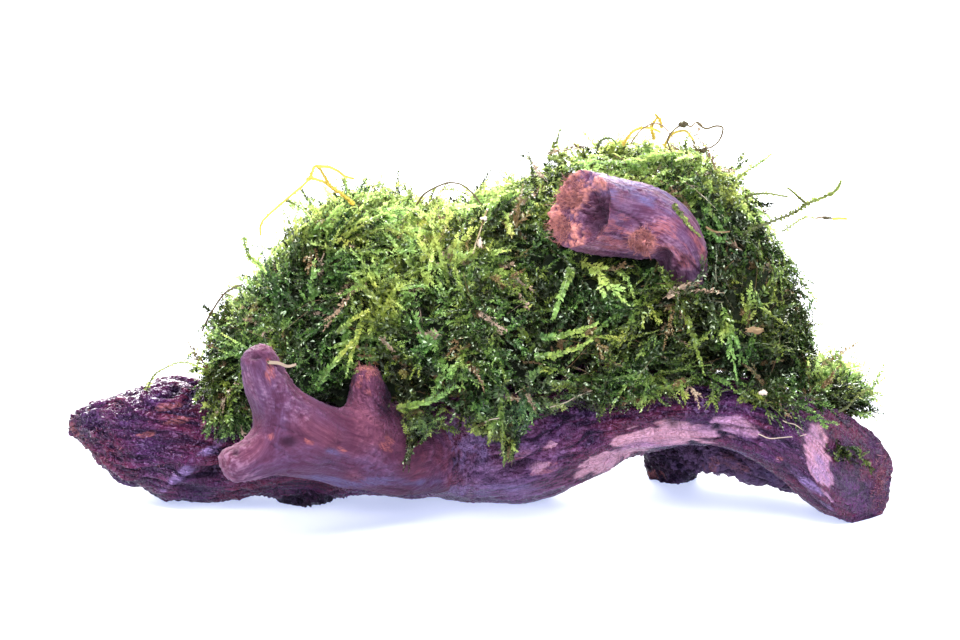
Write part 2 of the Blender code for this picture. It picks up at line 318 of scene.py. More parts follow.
class Wire:
    """A shader number. Python's operators on it add Math nodes."""

    def __init__(self, graph: "Graph", socket: Socket) -> None:
        """Wraps a node's output socket in a graph."""
        self.graph = graph
        self.socket = socket

    def math(self, operation: str, *values: object) -> "Wire":
        """The Math node of that operation on these values."""
        inputs = dict(enumerate(values))
        return self.graph.wire("ShaderNodeMath", {"operation": operation}, inputs)

    def __add__(self, other: object) -> "Wire":
        """self + other"""
        return self.math("ADD", self, other)

    def __sub__(self, other: object) -> "Wire":
        """self - other"""
        return self.math("SUBTRACT", self, other)

    def __rsub__(self, other: object) -> "Wire":
        """other - self"""
        return self.math("SUBTRACT", other, self)

    def __mul__(self, other: object) -> "Wire":
        """self times other"""
        return self.math("MULTIPLY", self, other)

    __radd__ = __add__
    __rmul__ = __mul__

    def step(self, low: float, high: float) -> "Wire":
        """0 below low, 1 above high, smooth between them."""
        settings = {"interpolation_type": "SMOOTHSTEP"}
        return self.graph.wire("ShaderNodeMapRange", settings, {0: self, 1: low, 2: high})


class Graph:
    """A material's nodes."""

    def __init__(self, name: str) -> None:
        """Starts an empty material of that name."""
        self.material = bpy.data.materials.new(name)
        self.material.use_nodes = True
        self.tree = self.material.node_tree
        self.tree.nodes.clear()

    def node(
        self, kind: str, settings: dict[str, object] | None = None, inputs: dict | None = None
    ) -> bpy.types.Node:
        """Adds a node.

        Args:
            kind: the node's type.
            settings: its properties; "stops" are a ramp's places and colours.
            inputs: values or links for its sockets, by name or number.

        Returns:
            The node.
        """
        made = self.tree.nodes.new(kind)
        settings = dict(settings or {})
        stops = settings.pop("stops", ())
        for key, value in settings.items():
            setattr(made, key, value)
        for k, (place, colour) in enumerate(stops):
            elements = made.color_ramp.elements
            stop = elements[k] if k < 2 else elements.new(place)
            stop.position = place
            stop.color = (*colour, 1.0)
        for key, value in (inputs or {}).items():
            value = value.socket if isinstance(value, Wire) else value
            if isinstance(value, Socket):
                self.tree.links.new(value, made.inputs[key])
            else:
                made.inputs[key].default_value = value
        return made

    def wire(
        self, kind: str, settings: dict | None = None, inputs: dict | None = None, out: object = 0
    ) -> Wire:
        """Adds a node and gives one of its outputs as a number."""
        return Wire(self, self.node(kind, settings, inputs).outputs[out])

    def trait(self, name: str) -> Wire:
        """A named number of the mesh."""
        return self.wire("ShaderNodeAttribute", {"attribute_name": name}, out="Fac")

    def place(self, name: str) -> Socket:
        """A named vector of the mesh."""
        return self.node("ShaderNodeAttribute", {"attribute_name": name}).outputs["Vector"]

    def object_place(self) -> Socket:
        """The place on the object, in metres."""
        return self.node("ShaderNodeTexCoord").outputs["Object"]

    def stretched(self, vector: Socket, scale: Row) -> Socket:
        """A vector multiplied axis by axis."""
        settings = {"operation": "MULTIPLY"}
        return self.node("ShaderNodeVectorMath", settings, {0: vector, 1: scale}).outputs[0]

    def noise(self, vector: Socket, scale: float, detail: float = 2.0) -> Wire:
        """Blender's noise over a vector, 0 to 1."""
        inputs = {"Vector": vector, "Scale": scale, "Detail": detail}
        return self.wire("ShaderNodeTexNoise", None, inputs, "Fac")

    def mix(self, share: Wire | float, one: object, other: object, blend: str = "MIX") -> object:
        """One colour, and the other where share is 1.

        Args:
            share: how much of the other colour shows.
            one: a colour or a colour socket.
            other: the same.
            blend: how they combine.

        Returns:
            The colour socket.
        """
        settings = {"data_type": "RGBA", "blend_type": blend, "clamp_factor": True}
        colours = [(*c, 1.0) if isinstance(c, tuple) and len(c) == 3 else c for c in (one, other)]
        inputs = {0: share, 6: colours[0], 7: colours[1]}
        return self.node("ShaderNodeMix", settings, inputs).outputs[2]

    def show(self, shader: bpy.types.Node) -> Material:
        """Ends the graph in a shader and gives the material."""
        self.node("ShaderNodeOutputMaterial", None, {"Surface": shader.outputs[0]})
        return self.material


# The width of the finest grain lines
FINE = 0.5
# The tints of what wet wood mirrors, of the light round its edge and of what wet leaves mirror
WOOD_GLINT = (0.80, 0.58, 1.0, 1.0)
EDGE_LIGHT = (0.70, 0.74, 1.0, 1.0)
LEAF_GLINT = (0.74, 0.88, 0.56, 1.0)


@dataclass(frozen=True)
class WoodFinish:
    """Grained driftwood. Colours are linear.

    Attributes:
        name: the material's name.
        deep: the colour where the relief is low: the grain's own dark lines, with painted shade in the
            furrows.
        body: the colour between them.
        dusk: the colour that it turns to in patches.
        pale: the colour on worn ridges.
        bare: the colour where the skin is gone.
        rust: the colour of the orange-brown spots.
        torn: the colour of torn fibres.
        bloom: the colour of the painted sheen, a lavender reflection of the pale floor and surroundings
            painted into the wood.
        dry: the roughness where it isn't wet.
        wet: the roughness where it is.
        relief: the strength of the finest relief.
        gloss: how much it mirrors, 0.5 for water.
        sheen: the strength of the pale edge that light behind it gives.
        streaky: how much the grain shows, 0 to 1.
    """

    name: str
    deep: Colour
    body: Colour
    dusk: Colour
    pale: Colour
    bare: Colour
    rust: Colour
    torn: Colour
    bloom: Colour
    dry: float
    wet: float
    relief: float = 0.8
    gloss: float = 0.22
    sheen: float = 0.0
    streaky: float = 1.0

    def build(self, beside: "WoodFinish") -> Material:
        """The material: grain streaks over the traits that the meshes carry.

        Args:
            beside: the finish that it turns into where the trait "kin" is 1.

        Returns:
            The material.
        """
        g = Graph(self.name)
        kin = g.trait("kin")
        deep = g.mix(kin, self.deep, beside.deep)
        body = g.mix(kin, self.body, beside.body)
        dusk = g.mix(kin, self.dusk, beside.dusk)
        pale = g.mix(kin, self.pale, beside.pale)
        grain = g.place("grain")
        streak = g.noise(g.stretched(grain, (0.05, 0.5, 0.5)), 1.0, 3.0)
        hair = g.noise(g.stretched(grain, (0.06, 1.0, 1.0)), 1.0 / FINE, 4.0)
        hue = g.noise(g.stretched(grain, (0.05, 0.14, 0.14)), 1.0, 3.0)
        cloud = g.noise(g.object_place(), 130.0, 4.0)
        speck = g.noise(g.object_place(), 900.0, 2.0)
        height = g.trait("height")
        thread = g.noise(g.stretched(grain, (0.05, 1.0, 1.0)), 2.2 / FINE, 4.0)
        fibre = hair * 0.6 + thread * 0.6 + streak * 0.3
        body = g.mix((hue + cloud * 0.6).step(0.55, 1.05), body, dusk)
        wear = g.trait("worn")
        # A low tone gives the deep colour: the grain's dark lines, and painted shade where the relief
        # height is low
        tone = (fibre + height * 1.0 + cloud * 0.4 + wear * 0.4 - 1.1).step(0.0, 0.85)
        colour = g.mix(tone * self.streaky + (1.0 - self.streaky) * 0.75, deep, body)
        ridge = (height * 0.8 + fibre * 0.8 + wear - 1.25).step(0.0, 0.6)
        colour = g.mix(ridge * 0.8, colour, pale)
        rusty = (g.trait("rust") + (cloud * hair).step(0.30, 0.46) * 0.3).step(0.2, 1.0)
        colour = g.mix(rusty * (thread * 2.4 - 0.85), colour, self.rust)
        faded = g.mix(hue.step(0.42, 0.66) * 0.7, self.bare, self.pale)
        worn = g.mix((hair + cloud * 0.4).step(0.25, 0.70), self.rust, faded)
        colour = g.mix(g.trait("bare") * (0.25 + fibre * 0.85), colour, worn)
        # Painted sheen: a lavender reflection of the pale surroundings, painted into the colour where
        # its marks lie
        colour = g.mix(g.trait("bloom") * (thread * 2.2 - 0.55), colour, self.bloom)
        colour = g.mix(g.trait("torn") * (hair * 1.5 + speck * 1.3 - 0.72), colour, self.torn)
        # Cracks and hollows are painted near-black: painted shade inside them
        colour = g.mix(g.trait("crack"), colour, tuple(c * 0.25 for c in self.deep))
        damp = (g.trait("wet") + speck * 0.4 + cloud * 0.5 - 0.45).step(0.1, 0.6)
        dry = self.dry + kin * (beside.dry - self.dry)
        wet = self.wet + kin * (beside.wet - self.wet)
        rough = dry + damp * (wet - dry) + hair * 0.08
        bead = g.noise(g.object_place(), 1300.0, 2.0).step(0.42, 0.70)
        rise = hair * 1.1 + thread * 0.5 + speck * 0.3 + streak * 0.6 + bead * damp * 2.4
        inputs = {"Height": rise, "Strength": self.relief, "Distance": 0.5 * MM}
        bump = g.node("ShaderNodeBump", None, inputs)
        inputs = {
            "Base Color": colour,
            "Roughness": rough,
            "Normal": bump.outputs[0],
            "Specular IOR Level": self.gloss,
            "Specular Tint": WOOD_GLINT,
            "Sheen Weight": self.sheen,
            "Sheen Roughness": 0.35,
            "Sheen Tint": EDGE_LIGHT,
        }
        return g.show(g.node("ShaderNodeBsdfPrincipled", None, inputs))


@dataclass(frozen=True)
class MossFinish:
    """Wet moss leaves, which light comes through.

    Attributes:
        name: the material's name.
        stops: the colours from the oldest growth, at 0, to the youngest tips, at 1.
        dead: the colour of dead stems and leaves.
        bleached: the colour of old dry straws.
        through: the colour of the light that comes through a leaf.
        warm: what the colours are multiplied by in olive clumps.
        cool: what they are multiplied by in bluish ones.
        golden: the colour of stems whose "dead" is -1.
    """

    name: str
    stops: tuple[tuple[float, Colour], ...]
    dead: Colour
    bleached: Colour
    through: Colour
    warm: Colour = (1.20, 1.0, 0.66)
    cool: Colour = (0.66, 1.0, 0.98)
    golden: Colour = (0.54, 0.37, 0.05)

    def build(self) -> Material:
        """The material: a ramp over freshness, tinted in clumps, with light through young leaves.

        Returns:
            The material.
        """
        g = Graph(self.name)
        # This trait holds the shoots' youth together with painted light and shade: darker deep in the
        # mound, brighter on its upward faces
        fresh_and_lit = g.trait("fresh_and_lit")
        spot = g.noise(g.object_place(), 400.0, 2.0)
        dead = g.trait("dead")
        ramp = g.node("ShaderNodeValToRGB", {"stops": self.stops}, {0: fresh_and_lit + spot * 0.2 - 0.1})
        clump = g.noise(g.object_place(), 70.0, 3.0)
        tint = g.mix(clump.step(0.36, 0.64), self.cool, self.warm)
        colour = g.mix(1.0, ramp.outputs[0], tint, "MULTIPLY")
        colour = g.mix(dead, colour, self.dead)
        colour = g.mix(dead - 1.0, colour, self.bleached)
        colour = g.mix(dead * -1.0, colour, self.golden)
        rough = 0.50 - g.trait("wet") * 0.42
        inputs = {"Base Color": colour, "Roughness": rough, "Specular IOR Level": 0.6}
        inputs["Specular Tint"] = LEAF_GLINT
        leaf = g.node("ShaderNodeBsdfPrincipled", None, inputs)
        glow = g.node("ShaderNodeBsdfTranslucent", None, {"Color": (*self.through, 1.0)})
        share = fresh_and_lit.step(0.36, 0.92) * 0.6 * (1.0 - dead).step(0.0, 1.0)
        inputs = {0: share, 1: leaf.outputs[0], 2: glow.outputs[0]}
        return g.show(g.node("ShaderNodeMixShader", None, inputs))


WET_WOOD = WoodFinish(
    "wet_wood",
    deep=(0.006, 0.001, 0.009),
    body=(0.125, 0.015, 0.028),
    dusk=(0.048, 0.012, 0.062),
    pale=(0.22, 0.105, 0.23),
    bare=(0.50, 0.255, 0.31),
    rust=(0.33, 0.105, 0.095),
    torn=(0.36, 0.14, 0.13),
    bloom=(0.19, 0.125, 0.27),
    dry=0.42,
    wet=0.06,
    gloss=0.52,
)
DARK_BARK = WoodFinish(
    "dark_bark",
    deep=(0.002, 0.0006, 0.003),
    body=(0.028, 0.006, 0.014),
    dusk=(0.013, 0.007, 0.024),
    pale=(0.15, 0.085, 0.17),
    bare=(0.20, 0.085, 0.09),
    rust=(0.26, 0.085, 0.07),
    torn=(0.15, 0.05, 0.04),
    bloom=(0.13, 0.09, 0.20),
    dry=0.45,
    wet=0.16,
    gloss=0.30,
)
SMOOTH_BRANCH = WoodFinish(
    "smooth_branch",
    deep=(0.046, 0.011, 0.024),
    body=(0.128, 0.040, 0.058),
    dusk=(0.082, 0.042, 0.090),
    pale=(0.235, 0.128, 0.185),
    bare=(0.34, 0.16, 0.22),
    rust=(0.27, 0.078, 0.066),
    torn=(0.52, 0.20, 0.145),
    bloom=(0.088, 0.078, 0.165),
    dry=0.68,
    wet=0.32,
    relief=0.5,
    gloss=0.18,
    sheen=0.05,
    streaky=0.9,
)
BRIGHT_MOSS = MossFinish(
    "bright_moss",
    stops=(
        (0.0, (0.0015, 0.0025, 0.001)),
        (1.0, (0.78, 0.82, 0.32)),
        (0.2, (0.005, 0.009, 0.002)),
        (0.4, (0.021, 0.039, 0.008)),
        (0.62, (0.122, 0.182, 0.038)),
        (0.82, (0.43, 0.50, 0.14)),
    ),
    dead=(0.15, 0.085, 0.04),
    bleached=(0.55, 0.44, 0.36),
    through=(0.64, 0.77, 0.26),
)
DEEP_MOSS = MossFinish(
    "deep_moss",
    stops=(
        (0.0, (0.0015, 0.0025, 0.0012)),
        (1.0, (0.66, 0.72, 0.30)),
        (0.2, (0.010, 0.015, 0.008)),
        (0.4, (0.045, 0.065, 0.030)),
        (0.62, (0.135, 0.185, 0.065)),
        (0.82, (0.36, 0.46, 0.14)),
    ),
    dead=(0.14, 0.08, 0.04),
    bleached=(0.5, 0.42, 0.36),
    through=(0.60, 0.74, 0.20),
)


# The driftwood


class Scar(Enum):
    """What a mark on the wood is. Its value says how far it raises the surface, in shares.

    Two names with one value would be the same scar, so BLOOM has a trace of height. BLOOM is a painted
    reflection: the pale lavender sheen of the floor and surroundings, painted as colour.
    """

    # A hollow is also painted near-black through the crack trait: painted shade
    HOLLOW = -1.0
    KNOB = 1.0
    BARE = -0.2
    RUST = -0.1
    TORN = 0.3
    WET = 0.0
    BLOOM = 0.001


# A squared distance from an oval's middle at which it is no longer felt
FAR = 50.0


@dataclass(frozen=True)
class Oval:
    """An oval patch of the photograph.

    Attributes:
        spot: its middle, a pixel.
        reach: its half width and half height in pixels.
        turn: how far it leans, in degrees, anticlockwise.
    """

    spot: Row
    reach: Row
    turn: float = 0.0

    def distance(self, points: Array) -> Array:
        """The square of how far each point shows from the middle, 1 at the oval's edge."""
        away = VIEW.project(points) - np.array(self.spot)
        lean = math.radians(self.turn)
        along = (away[:, 0] * math.cos(lean) - away[:, 1] * math.sin(lean)) / self.reach[0]
        over = (away[:, 0] * math.sin(lean) + away[:, 1] * math.cos(lean)) / self.reach[1]
        return along**2 + over**2

    def weight(self, points: Array, normals: Array) -> Array:
        """A bell over the oval, felt on faces that are turned to the view."""
        facing = smooth_step(0.0, 0.35, -dot(normals, VIEW.axes()[2]))
        return np.exp(-np.minimum(self.distance(points), FAR) ** 1.5) * facing


@dataclass(frozen=True)
class Mark:
    """A mark on the side of the wood that the photograph shows.

    Attributes:
        scar: what it is.
        oval: where it is.
        depth: how deep or high it is.
    """

    scar: Scar
    oval: Oval
    depth: float = 0.8


def marks(scar: Scar, *rows: Row) -> tuple[Mark, ...]:
    """Marks of one kind, a row each: a pixel, half width and height, the turn and the depth."""
    return tuple(Mark(scar, Oval(row[:2], row[2:4], *row[4:5]), *row[5:]) for row in rows)


@dataclass(frozen=True)
class Grain:
    """How high each kind of relief stands on a limb.

    Attributes:
        lumps: broad swellings.
        furrows: the grain's ridges, as wide and as long as width and length.
        lines: fine grain lines.
        cracks: the depth of the cracks.
        pits: small pits all over.
        width: a furrow's width.
        length: a furrow's length.
        ledges: the torn edges of the wood's layers.
        layer: a layer's thickness.
        grit: crumbs, in patches.
    """

    lumps: float = 0.7
    furrows: float = 0.35
    lines: float = 0.12
    cracks: float = 0.5
    pits: float = 0.08
    width: float = 2.6
    length: float = 34.0
    ledges: float = 0.35
    layer: float = 7.0
    grit: float = 0.22


@dataclass
class Limb:
    """A stretch of driftwood: an oval section carried along a smooth path.

    Attributes:
        name: its name, that of its solid without "driftwood_".
        stations: x, y, z, half width across and half height, one row a station.
        finish: the finish's name.
        seed: chooses the ridges and the noise; the ridges are those of the solid.
        grain: how high the relief stands.
        marks: the scars that the photograph shows.
        meets: the limbs that it flows into.
        blunt: whether its ends are cut across.
        step: the distance between neighbouring points.
        start: the grain coordinate at its first station.
        damp: how wet it is, 0 to 1.
        worn: how pale its ridges are worn, 0 to 1.

    COARSE is the step along the path, CAP_BEVEL how far a blunt end bulges, RIPPLE how high
    wet ripples stand, MOST_PUSH how far the skin moves at most to flow into a neighbour, and
    TURNING where its finish takes over from a neighbour's.
    """

    name: str
    stations: tuple[Row, ...]
    finish: str
    seed: int
    grain: Grain = Grain()
    marks: tuple[Mark, ...] = ()
    meets: tuple[str, ...] = ()
    blunt: bool = False
    step: float = 0.5
    start: float = 0.0
    damp: float = 0.5
    worn: float = 0.0

    PATH_SAMPLES: ClassVar[int] = 600
    COARSE: ClassVar[float] = 1.5
    CAP_RINGS: ClassVar[int] = 9
    CAP_BEVEL: ClassVar[float] = 0.9
    RIPPLE: ClassVar[float] = 0.75
    MOST_PUSH: ClassVar[float] = 5.0
    TURNING: ClassVar[Row] = (-4.0, 20.0)

    def __post_init__(self) -> None:
        """Samples the path closely and carries its cross directions along without twist."""
        rows = through(table(self.stations), np.linspace(0.0, 1.0, self.PATH_SAMPLES))
        pace = np.linalg.norm(np.diff(rows[:, :3], axis=0), axis=1)
        travelled = np.concatenate([[0.0], np.cumsum(pace)])
        self.long = float(travelled[-1])
        self.way = np.linspace(0.0, self.long, max(int(self.long / self.COARSE), 6))
        self.rows = np.stack([np.interp(self.way, travelled, rows[:, k]) for k in range(5)], 1)
        along = unit(np.gradient(self.rows[:, :3], axis=0))
        steep = abs(along[0, 2]) > 0.8
        across = np.array((1.0, 0.0, 0.0)) if steep else np.cross(along[0], (0.0, 0.0, 1.0))
        carried = []
        for direction in along:
            across = unit(across - direction * dot(across, direction))
            carried.append(across)
        across = np.stack(carried)
        self.frames = np.concatenate([along, across, np.cross(across, along)], 1)

    @property
    def node(self) -> str:
        """The solid that it stands for."""
        return "driftwood_" + self.name

    def at(self, way: Array) -> tuple[Array, Array, Array, Array, Array]:
        """The path's point, three directions and two half sizes at distances along it."""
        rows = np.stack([np.interp(way, self.way, self.rows[:, k]) for k in range(5)], 1)
        axes = np.stack([np.interp(way, self.way, self.frames[:, k]) for k in range(9)], 1)
        along, across, up = (unit(axes[:, k : k + 3]) for k in (0, 3, 6))
        return rows[:, :3], along, across, up, rows[:, 3:]

    def swell(self, angle: Array, share: Array) -> Array:
        """The long ridges round the section: three cosine waves, as a share of the radius."""
        broad = 0.050 * np.cos(2 * angle + 1.7 * self.seed + 2.5 * share)
        ridge = 0.035 * np.cos(3 * angle + 2.9 * self.seed - 3.0 * share)
        fine = 0.022 * np.cos(5 * angle + 4.1 * self.seed + 5.0 * share)
        return 1.0 + broad + ridge + fine

    def local(self, points: Array) -> tuple[Array, Array, Array]:
        """Where points lie beside the limb.

        Args:
            points: places.

        Returns:
            The distance outside the surface, the distance along the path, and the offsets
            across and up as shares of the half sizes.
        """
        gap = points[:, None, :].astype(np.float32) - self.rows[None, :, :3].astype(np.float32)
        nearest = np.argmin((gap**2).sum(-1), axis=1)
        past = dot(points - self.rows[nearest, :3], self.frames[nearest, :3])
        way = self.way[nearest] + past
        inside = np.clip(way, 0.0, self.long)
        middle, _, across, up, half = self.at(inside)
        offset = np.stack([dot(points - middle, across), dot(points - middle, up)], 1)
        shares = offset / half
        angle = np.arctan2(shares[:, 1], shares[:, 0])
        ratio = np.linalg.norm(shares, axis=1) / self.swell(angle, inside / self.long)
        radius = np.linalg.norm(offset, axis=1)
        side = radius - radius / np.maximum(ratio, 1e-6)
        side = np.where(ratio < 1e-3, -half.min(1), side)
        over = np.abs(way - inside)
        away = np.where(over > 0.0, np.hypot(np.maximum(side, 0.0), over), side)
        return away, way, shares

    def grid(self) -> tuple[Array, Array]:
        """Rings along the path, closed by a cap and a pole at each end.

        The surface is middle(s) + across(s) a cos(t) + up(s) b sin(t), times the ridges. On a
        cap the ring shrinks as the sine of a quarter turn while it moves out by its cosine.

        Returns:
            The points and the triangles.
        """
        count = max(int(self.long / self.step), 8)
        way = np.linspace(0.0, self.long, count)
        cap = np.linspace(0.0, 1.0, self.CAP_RINGS + 1)[1:-1]
        half = self.rows[[0, -1], 3:].min(1)
        if self.blunt:
            cap = np.linspace(0.0, 1.0, int(half.max() / self.step) + 2)[1:-1]
            shrink, out = cap, 1.0 - cap**6
            reach = np.full(2, self.CAP_BEVEL)
        else:
            shrink, out = np.sin(cap * math.pi / 2), np.cos(cap * math.pi / 2)
            reach = 0.5 * half
        way = np.concatenate([np.zeros(len(cap)), way, np.full(len(cap), self.long)])
        scale = np.concatenate([shrink, np.ones(count), shrink[::-1]])
        slide = np.concatenate([-out * reach[0], np.zeros(count), out[::-1] * reach[1]])
        sides = int(2 * math.pi * self.rows[:, 3:].max() / self.step)
        angle = np.linspace(0.0, 2 * math.pi, sides, endpoint=False)
        middle, along, across, up, half = self.at(way)
        middle = middle + along * slide[:, None]
        swell = self.swell(angle[None, :], (way / self.long)[:, None]) * scale[:, None]
        wide = (np.cos(angle) * half[:, :1] * swell)[..., None]
        tall = (np.sin(angle) * half[:, 1:] * swell)[..., None]
        rings = middle[:, None] + across[:, None] * wide + up[:, None] * tall
        ends = self.rows[[0, -1], :3] + self.frames[[0, -1], :3] * (reach * (-1, 1))[:, None]
        points = np.concatenate([rings.reshape(-1, 3), ends])
        return points, closed_grid_faces(len(way), sides)

    def lifted(self, points: Array, normals: Array, others: list["Limb"]) -> Array:
        """Points pushed out to the smooth union of the limbs, so that they flow together.

        The union's distance is -k log of the sum of exp(-distance / k). Under the
        neighbour's skin the push fades, so that this surface dives below it.

        Args:
            points: the limb's own surface.
            normals: its normals.
            others: the neighbours.

        Returns:
            The moved points.
        """
        if not others:
            return points
        nearest = np.min([other.local(points)[0] for other in others], axis=0)
        crossing = BLEND * math.log(2.0)
        limit = crossing * np.exp(np.minimum(nearest, 0.0) / BLEND)
        limit = limit + 3.0 * np.maximum(nearest - crossing, 0.0)
        push = np.zeros(len(points))
        near = nearest < self.MOST_PUSH * BLEND
        for _ in range(3):
            here = points[near] + normals[near] * push[near, None]
            away = [limb.local(here)[0] for limb in (self, *others)]
            union = -BLEND * np.log(sum(np.exp(-np.clip(a, -20.0, 60.0) / BLEND) for a in away))
            most = np.minimum(limit[near], self.MOST_PUSH)
            push[near] = np.clip(push[near] - union, 0.0, most)
        return points + normals * push[:, None]

    def grain_place(self, points: Array, others: list["Limb"]) -> Array:
        """Coordinates along and across the grain, blended where limbs flow together."""
        total = np.zeros((len(points), 3))
        weight = np.zeros((len(points), 1))
        for limb in (self, *others):
            away, way, shares = limb.local(points)
            share = closeness(away, BLEND)[:, None]
            half = limb.at(np.clip(way, 0.0, limb.long))[4]
            here = np.concatenate([(way + limb.start)[:, None], shares * half], 1)
            total += here * share
            weight += share
        return total / weight

    def relief(self, points: Array, place: Array, g: Grain) -> tuple[Array, Array, Array]:
        """The height of the wood's own relief, its tone, and where it is cracked.

        Furrows are a ridged noise drawn out along the grain and bent by a broad one. A
        crack is a narrow valley along the zero line of a noise. A ledge rises in a seventh
        of a layer and falls away over the rest of it.

        Args:
            points: places.
            place: their grain coordinates.
            g: how high each kind of relief stands.

        Returns:
            The height, and the tone and the cracks, 0 to 1. The finish paints the wood dark where the
            tone is low: painted shade in the furrows.
        """
        bent = place + Noise(40)(points, 11.0)[:, None] * (0.0, 1.6, 1.6)
        bent = bent + Noise(41)(points, 4.0)[:, None] * (0.0, 0.5, 0.5)
        furrow = Noise(42)(bent, (g.length, g.width, g.width), 3)
        lines = Noise(43)(bent, (11.0, 0.8, 0.8), 3)
        valley = Noise(44)(bent, (26.0, 6.0, 6.0))
        patchy = smooth_step(-0.05, 0.35, Noise(45)(points, 17.0))
        crack = np.exp(-((valley / 0.045) ** 2)) * patchy
        layer = bent[:, 2] / g.layer + Noise(48)(place, (34.0, 9.0, 9.0), 2) * 1.1
        layer = layer - place[:, 0] * 0.02
        part = layer - np.floor(layer)
        ledge = smooth_step(0.0, 0.14, part) * (1.0 - part)
        crumbs = np.abs(Noise(49)(points, 1.2, 3)) * smooth_step(-0.2, 0.3, Noise(52)(points, 12.0))
        fine = g.furrows * (0.6 - 2.2 * np.abs(furrow)) + g.lines * lines - g.cracks * crack
        fine += g.ledges * (ledge - 0.45) + g.grit * (2.2 * crumbs - 0.4)
        fine += g.pits * Noise(46)(points, 1.1, 2)
        tone = np.clip(0.5 + fine / (2.0 * (g.furrows + 0.6 * g.ledges + 0.25)), 0.0, 1.0)
        return fine + g.lumps * Noise(47)(points, 14.0, 2), tone, crack

    def scars(self, points: Array, normals: Array, place: Array) -> tuple[Array, dict[str, Array]]:
        """The height that the marks add, rippled where it is wet, and each kind's strength."""
        felt = {scar: np.zeros(len(points)) for scar in Scar}
        ragged = Noise(50)(place, (9.0, 2.2, 2.2), 3) * 0.35 + Noise(51)(points, 3.0) * 0.12
        height = np.zeros(len(points))
        for mark in self.marks:
            weight = mark.oval.weight(points, normals)
            if mark.scar is Scar.BARE:
                rough = 1.7 * ragged * smooth_step(0.02, 0.3, weight)
                weight = smooth_step(0.32, 0.60, weight + rough)
            elif mark.scar in (Scar.TORN, Scar.RUST, Scar.BLOOM):
                weight = smooth_step(0.05, 0.95, weight * (0.8 + 3.2 * ragged))
            height += mark.scar.value * mark.depth * weight
            felt[mark.scar] = np.maximum(felt[mark.scar], weight)
        ripple = Noise(53)(place, (6.0, 1.5, 1.5), 2) + 0.5 * np.abs(Noise(54)(place, (3.0, 2.2, 2.2)))
        height += self.RIPPLE * felt[Scar.WET] * ripple
        seen = (Scar.BARE, Scar.RUST, Scar.TORN, Scar.BLOOM)
        traits = {scar.name.lower(): felt[scar] for scar in seen}
        traits["wet"] = np.clip(self.damp + felt[Scar.WET], 0.0, 1.0)
        # Hollows are painted dark through the crack trait: painted shade
        traits["crack"] = felt[Scar.HOLLOW] * 0.8
        return height, traits

    def kin(self, points: Array, others: list["Limb"]) -> tuple["Limb", Array]:
        """The neighbour of the other finish, and how much it shows, half of all at the seam."""
        blended = {WET_WOOD.name, SMOOTH_BRANCH.name}
        beside = [other for other in others if {other.finish, self.finish} == blended]
        if not beside:
            return self, np.zeros(len(points))
        return beside[-1], 0.5 - 0.5 * smooth_step(*self.TURNING, beside[-1].local(points)[0])

    def wear(self, points: Array, others: list["Limb"]) -> Array:
        """How pale the ridges are worn, blended widely where limbs meet."""
        limbs = (self, *others)
        away = np.stack([limb.local(points)[0] for limb in limbs])
        share = closeness(away, 2.0 * BLEND)
        return share.T @ np.array([limb.worn for limb in limbs]) / share.sum(0)

    def trimmed(self, points: Array, traits: dict[str, Array]) -> Array:
        """The points cut flat at the floor."""
        points[:, 2] = np.maximum(points[:, 2], 0.0)
        return points

    def shape(self, others: list["Limb"]) -> Shape:
        """The finished surface.

        Args:
            others: the limbs that this one flows into.

        Returns:
            The shape with its traits.
        """
        points, faces = self.grid()
        points = self.lifted(points, vertex_normals(points, faces), others)
        normals = vertex_normals(points, faces)
        place = self.grain_place(points, others)
        near, kin = self.kin(points, others)
        own, other = (self.relief(points, place, grain) for grain in (self.grain, near.grain))
        height, tone, crack = (one + (two - one) * kin for one, two in zip(own, other))
        scar_height, traits = self.scars(points, normals, place)
        traits["worn"] = self.wear(points, others)
        traits["kin"] = kin
        traits["crack"] = np.clip(traits["crack"] + crack * 0.8, 0.0, 1.0)
        traits["height"] = tone
        traits["grain"] = place
        points = points + normals * (height + scar_height)[:, None]
        return Shape(self.trimmed(points, traits), faces, traits)


def closed_grid_faces(rings: int, sides: int) -> Array:
    """Triangles of a tube of rings, with the last two points as its poles."""
    ring, side = np.meshgrid(np.arange(rings - 1), np.arange(sides), indexing="ij")
    after = (side + 1) % sides
    a, b = ring * sides + side, (ring + 1) * sides + side
    c, d = (ring + 1) * sides + after, ring * sides + after
    walls = np.stack([a, b, c, a, c, d], -1).reshape(-1, 3)
    k = np.arange(sides)
    first, last, top = rings * sides, rings * sides + 1, (rings - 1) * sides
    start = np.stack([np.full(sides, first), k, (k + 1) % sides], 1)
    end = np.stack([np.full(sides, last), top + (k + 1) % sides, top + k], 1)
    return np.concatenate([walls, start, end])


@dataclass
class Arch(Limb):
    """The arched limb, whose foot is sliced obliquely.

    SLICE_POINT lies on the slice and SLICE_SIDE points out of it, as in part.py.
    """

    SLICE_POINT: ClassVar[Row] = (84.2, -21.5, 12.0)
    SLICE_SIDE: ClassVar[Row] = (0.64, -0.74, 0.20)

    def trimmed(self, points: Array, traits: dict[str, Array]) -> Array:
        """The points cut flat at the floor and pressed back to the slice."""
        side = unit(np.array(self.SLICE_SIDE))
        at = np.array(self.SLICE_POINT) - FOOTPRINT_MIDDLE
        past = dot(points - at, side) + 0.15 * Noise(60)(points, 2.5, 2)
        points = points - side * np.maximum(past, 0.0)[:, None]
        return super().trimmed(points, traits)


